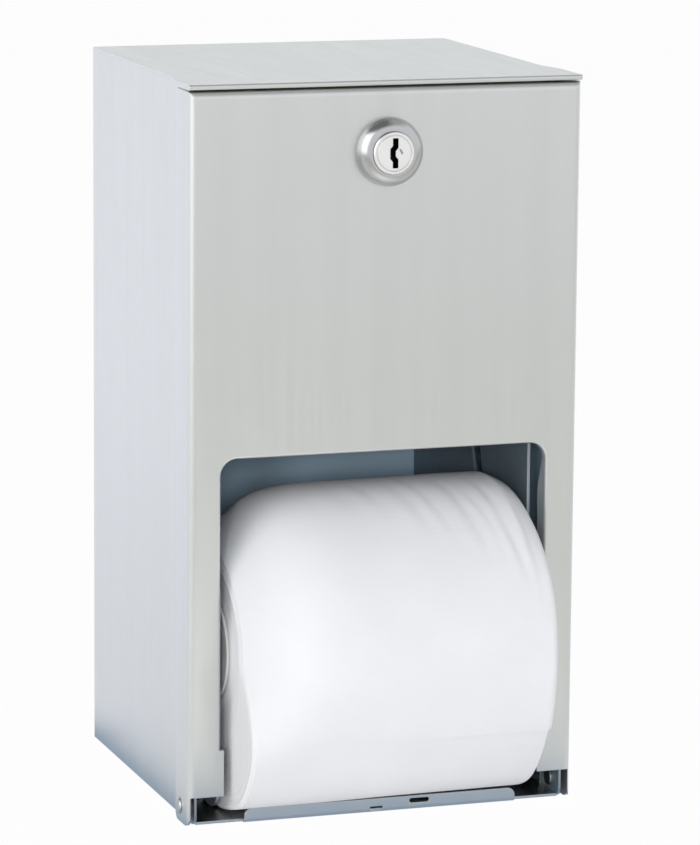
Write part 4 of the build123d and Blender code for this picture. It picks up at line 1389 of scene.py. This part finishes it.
@dataclass
class Studio:
    """Camera, lamps, world and floor."""

    azimuth: float = math.radians(18.598)
    elevation: float = math.radians(10.433)
    roll: float = math.radians(0.479)
    distance: float = 1.7499
    focal_pixels: float = 4499.6
    target_side: float = 6.06 * MM
    target_back: float = 60 * MM
    target_level: float = 140.55 * MM
    picture_height: int = 845
    sensor: float = 36.0
    clip: Span = (0.05, 50.0)
    ambient_tone: Colour = (0.97, 0.985, 1.0)
    ambient_strength: float = 0.35
    horizon_tone: Colour = (0.95, 0.975, 1.0)
    ceiling_tone: Colour = (0.22, 0.215, 0.20)
    floor_radius: float = 10.0
    floor_corners: int = 96
    floor_drop: float = 0.3
    floor_tone: Colour = (0.9, 0.9, 0.9)
    floor_uplight: float = 0.22
    floor_seen: float = 0.95
    card_gap: float = 0.4 * MM
    front: float = field(init=False)
    low: float = field(init=False)

    def __post_init__(self) -> None:
        """Reads where the door's front and the object's bottom lie."""
        self.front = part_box("door_panel")[0].y
        self.low = MODEL_BOX[0].z

    def place_camera(self) -> bpy.types.Object:
        """Sets the camera where the photograph was taken from.

        Returns:
            The camera.
        """
        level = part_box("door_panel")[0].z + self.target_level
        target = Vector((self.target_side, self.front + self.target_back, level))
        ahead = math.cos(self.elevation)
        side, back_y = -math.sin(self.azimuth) * ahead, -math.cos(self.azimuth) * ahead
        back = Vector((side, back_y, math.sin(self.elevation)))
        right = (-back).cross(Vector((0, 0, 1))).normalized()
        above = right.cross(-back)
        turned_right = right * math.cos(self.roll) + above * math.sin(self.roll)
        turned_up = above * math.cos(self.roll) - right * math.sin(self.roll)
        bpy.ops.object.camera_add()
        camera = bpy.context.object
        camera.name = "photo_camera"
        axes = Matrix((turned_right, turned_up, back)).transposed().to_4x4()
        camera.matrix_world = Matrix.Translation(target + back * self.distance) @ axes
        camera.data.sensor_width = self.sensor
        camera.data.lens = self.focal_pixels * self.sensor / self.picture_height
        camera.data.clip_start, camera.data.clip_end = self.clip
        bpy.context.scene.camera = camera
        return camera

    def light(self) -> None:
        """Lights the object softly and gives the world its white."""
        for lamp in LAMPS:
            lamp.add()
        world = bpy.data.worlds.new("studio_world")
        bpy.context.scene.world = world
        world.use_nodes = True
        graph = Graph(world.node_tree)
        ambient = world.node_tree.nodes["Background"]
        graph.feed(ambient, {"Color": (*self.ambient_tone, 1.0), "Strength": self.ambient_strength})
        is_glossy = graph.add("LightPath").outputs["Is Glossy Ray"]
        tone = graph.blend(is_glossy, (1.0, 1.0, 1.0), self.sky_in_mirror(graph))
        white = graph.add("Background", {"Color": tone, "Strength": 1.0})
        mixer = graph.add(
            "MixShader", {0: self.seen_share(graph), 1: ambient.outputs[0], 2: white.outputs[0]}
        )
        graph.feed(world.node_tree.nodes["World Output"], {"Surface": mixer.outputs[0]})

    def sky_in_mirror(self, graph: Graph) -> bpy.types.NodeSocket:
        """Tone of the room in the steel: pale, with a dark ceiling overhead.

        Args:
            graph: The world's graph.

        Returns:
            The tone's socket.
        """
        look = graph.parts(graph.add("TexCoord").outputs["Generated"])
        overhead = graph.span(look[2], 0.60, 0.78, 0.0, 1.0)
        not_behind = graph.span(look[1], 0.75, 0.55, 0.0, 1.0)
        less_right = graph.span(look[0], 0.12, 0.34, 1.0, 0.55)
        ceiling = graph.maths("MULTIPLY", overhead, not_behind)
        ceiling = graph.maths("MULTIPLY", ceiling, less_right)
        return graph.blend(ceiling, self.horizon_tone, self.ceiling_tone)

    def seen_share(self, graph: Graph) -> bpy.types.NodeSocket:
        """Share of a ray that sees the plain white: camera, glossy and transmission rays."""
        path = graph.add("LightPath").outputs
        seen = graph.maths("MAXIMUM", path["Is Camera Ray"], path["Is Glossy Ray"])
        return graph.maths("MAXIMUM", seen, path["Is Transmission Ray"], clamp=True)

    def lay_floor(self) -> None:
        """Lays the pale floor that the opened door clears, and a bounce card under the object."""
        paint = self.floor_paint()
        self.lay_disc("studio_floor", self.low - self.floor_drop, paint)
        card = self.lay_disc("bounce_card", self.low - self.card_gap, paint)
        card.visible_camera = False
        card.visible_shadow = False

    def lay_disc(self, name: str, level: float, paint: bpy.types.Material) -> bpy.types.Object:
        """Lays a round sheet that isn't part of the object.

        Args:
            name: Its name.
            level: Its height.
            paint: Its finish.

        Returns:
            The sheet.
        """
        clear_selection()
        bpy.ops.mesh.primitive_circle_add(
            vertices=self.floor_corners, radius=self.floor_radius, fill_type="NGON",
            location=(0, 0, level),
        )
        disc = settle(bpy.context.object, name)
        disc.data.materials.append(paint)
        return disc

    def floor_paint(self) -> bpy.types.Material:
        """Builds the floor's white, with what the steel mirrors of it."""
        material, graph, shader = start_material("floor_white")
        graph.feed(shader, {"Base Color": (*self.floor_tone, 1.0), "Roughness": 0.9})
        graph.feed(shader, {"Specular IOR Level": 0.0})
        is_glossy = graph.add("LightPath").outputs["Is Glossy Ray"]
        mirrored = MirroredFloor().tone(graph, self.front, self.low - self.card_gap)
        colour = graph.blend(is_glossy, (1.0, 1.0, 1.0), mirrored)
        glow = graph.add("Emission", {"Color": colour, "Strength": 1.0})
        share = graph.span(self.seen_share(graph), 0.0, 1.0, self.floor_uplight, self.floor_seen)
        mixer = graph.add("MixShader", {0: share, 1: shader.outputs[0], 2: glow.outputs[0]})
        graph.feed(material.node_tree.nodes["Material Output"], {"Surface": mixer.outputs[0]})
        return material

    def set_view(self) -> None:
        """Shows colours as they are written."""
        bpy.context.scene.view_settings.view_transform = "Standard"


def main() -> None:
    """Sets the studio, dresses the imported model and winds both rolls."""
    logging.basicConfig(level=logging.INFO, format="%(message)s")
    studio = Studio()
    studio.place_camera()
    studio.light()
    studio.lay_floor()
    studio.set_view()
    shelf = EffectShelf()
    Cabinet().dress(shelf)
    Lock().dress(shelf)
    Springs().dress(shelf)
    tissue = Tissue("bleached_tissue", (0.85, 0.857, 0.882), (0.826, 0.833, 0.86)).build(shelf)
    spindle = Moulding("spindle_plastic", (0.66, 0.66, 0.65), 0.42).build(shelf)
    lower = PaperRoll("lower", "lower_roll", crushed=True)
    for roll in (lower, PaperRoll("upper", "upper_roll")):
        roll.build(shelf, tissue)
        dress(f"{roll.name}_spindle", spindle)


if __name__ == "__main__":
    main()
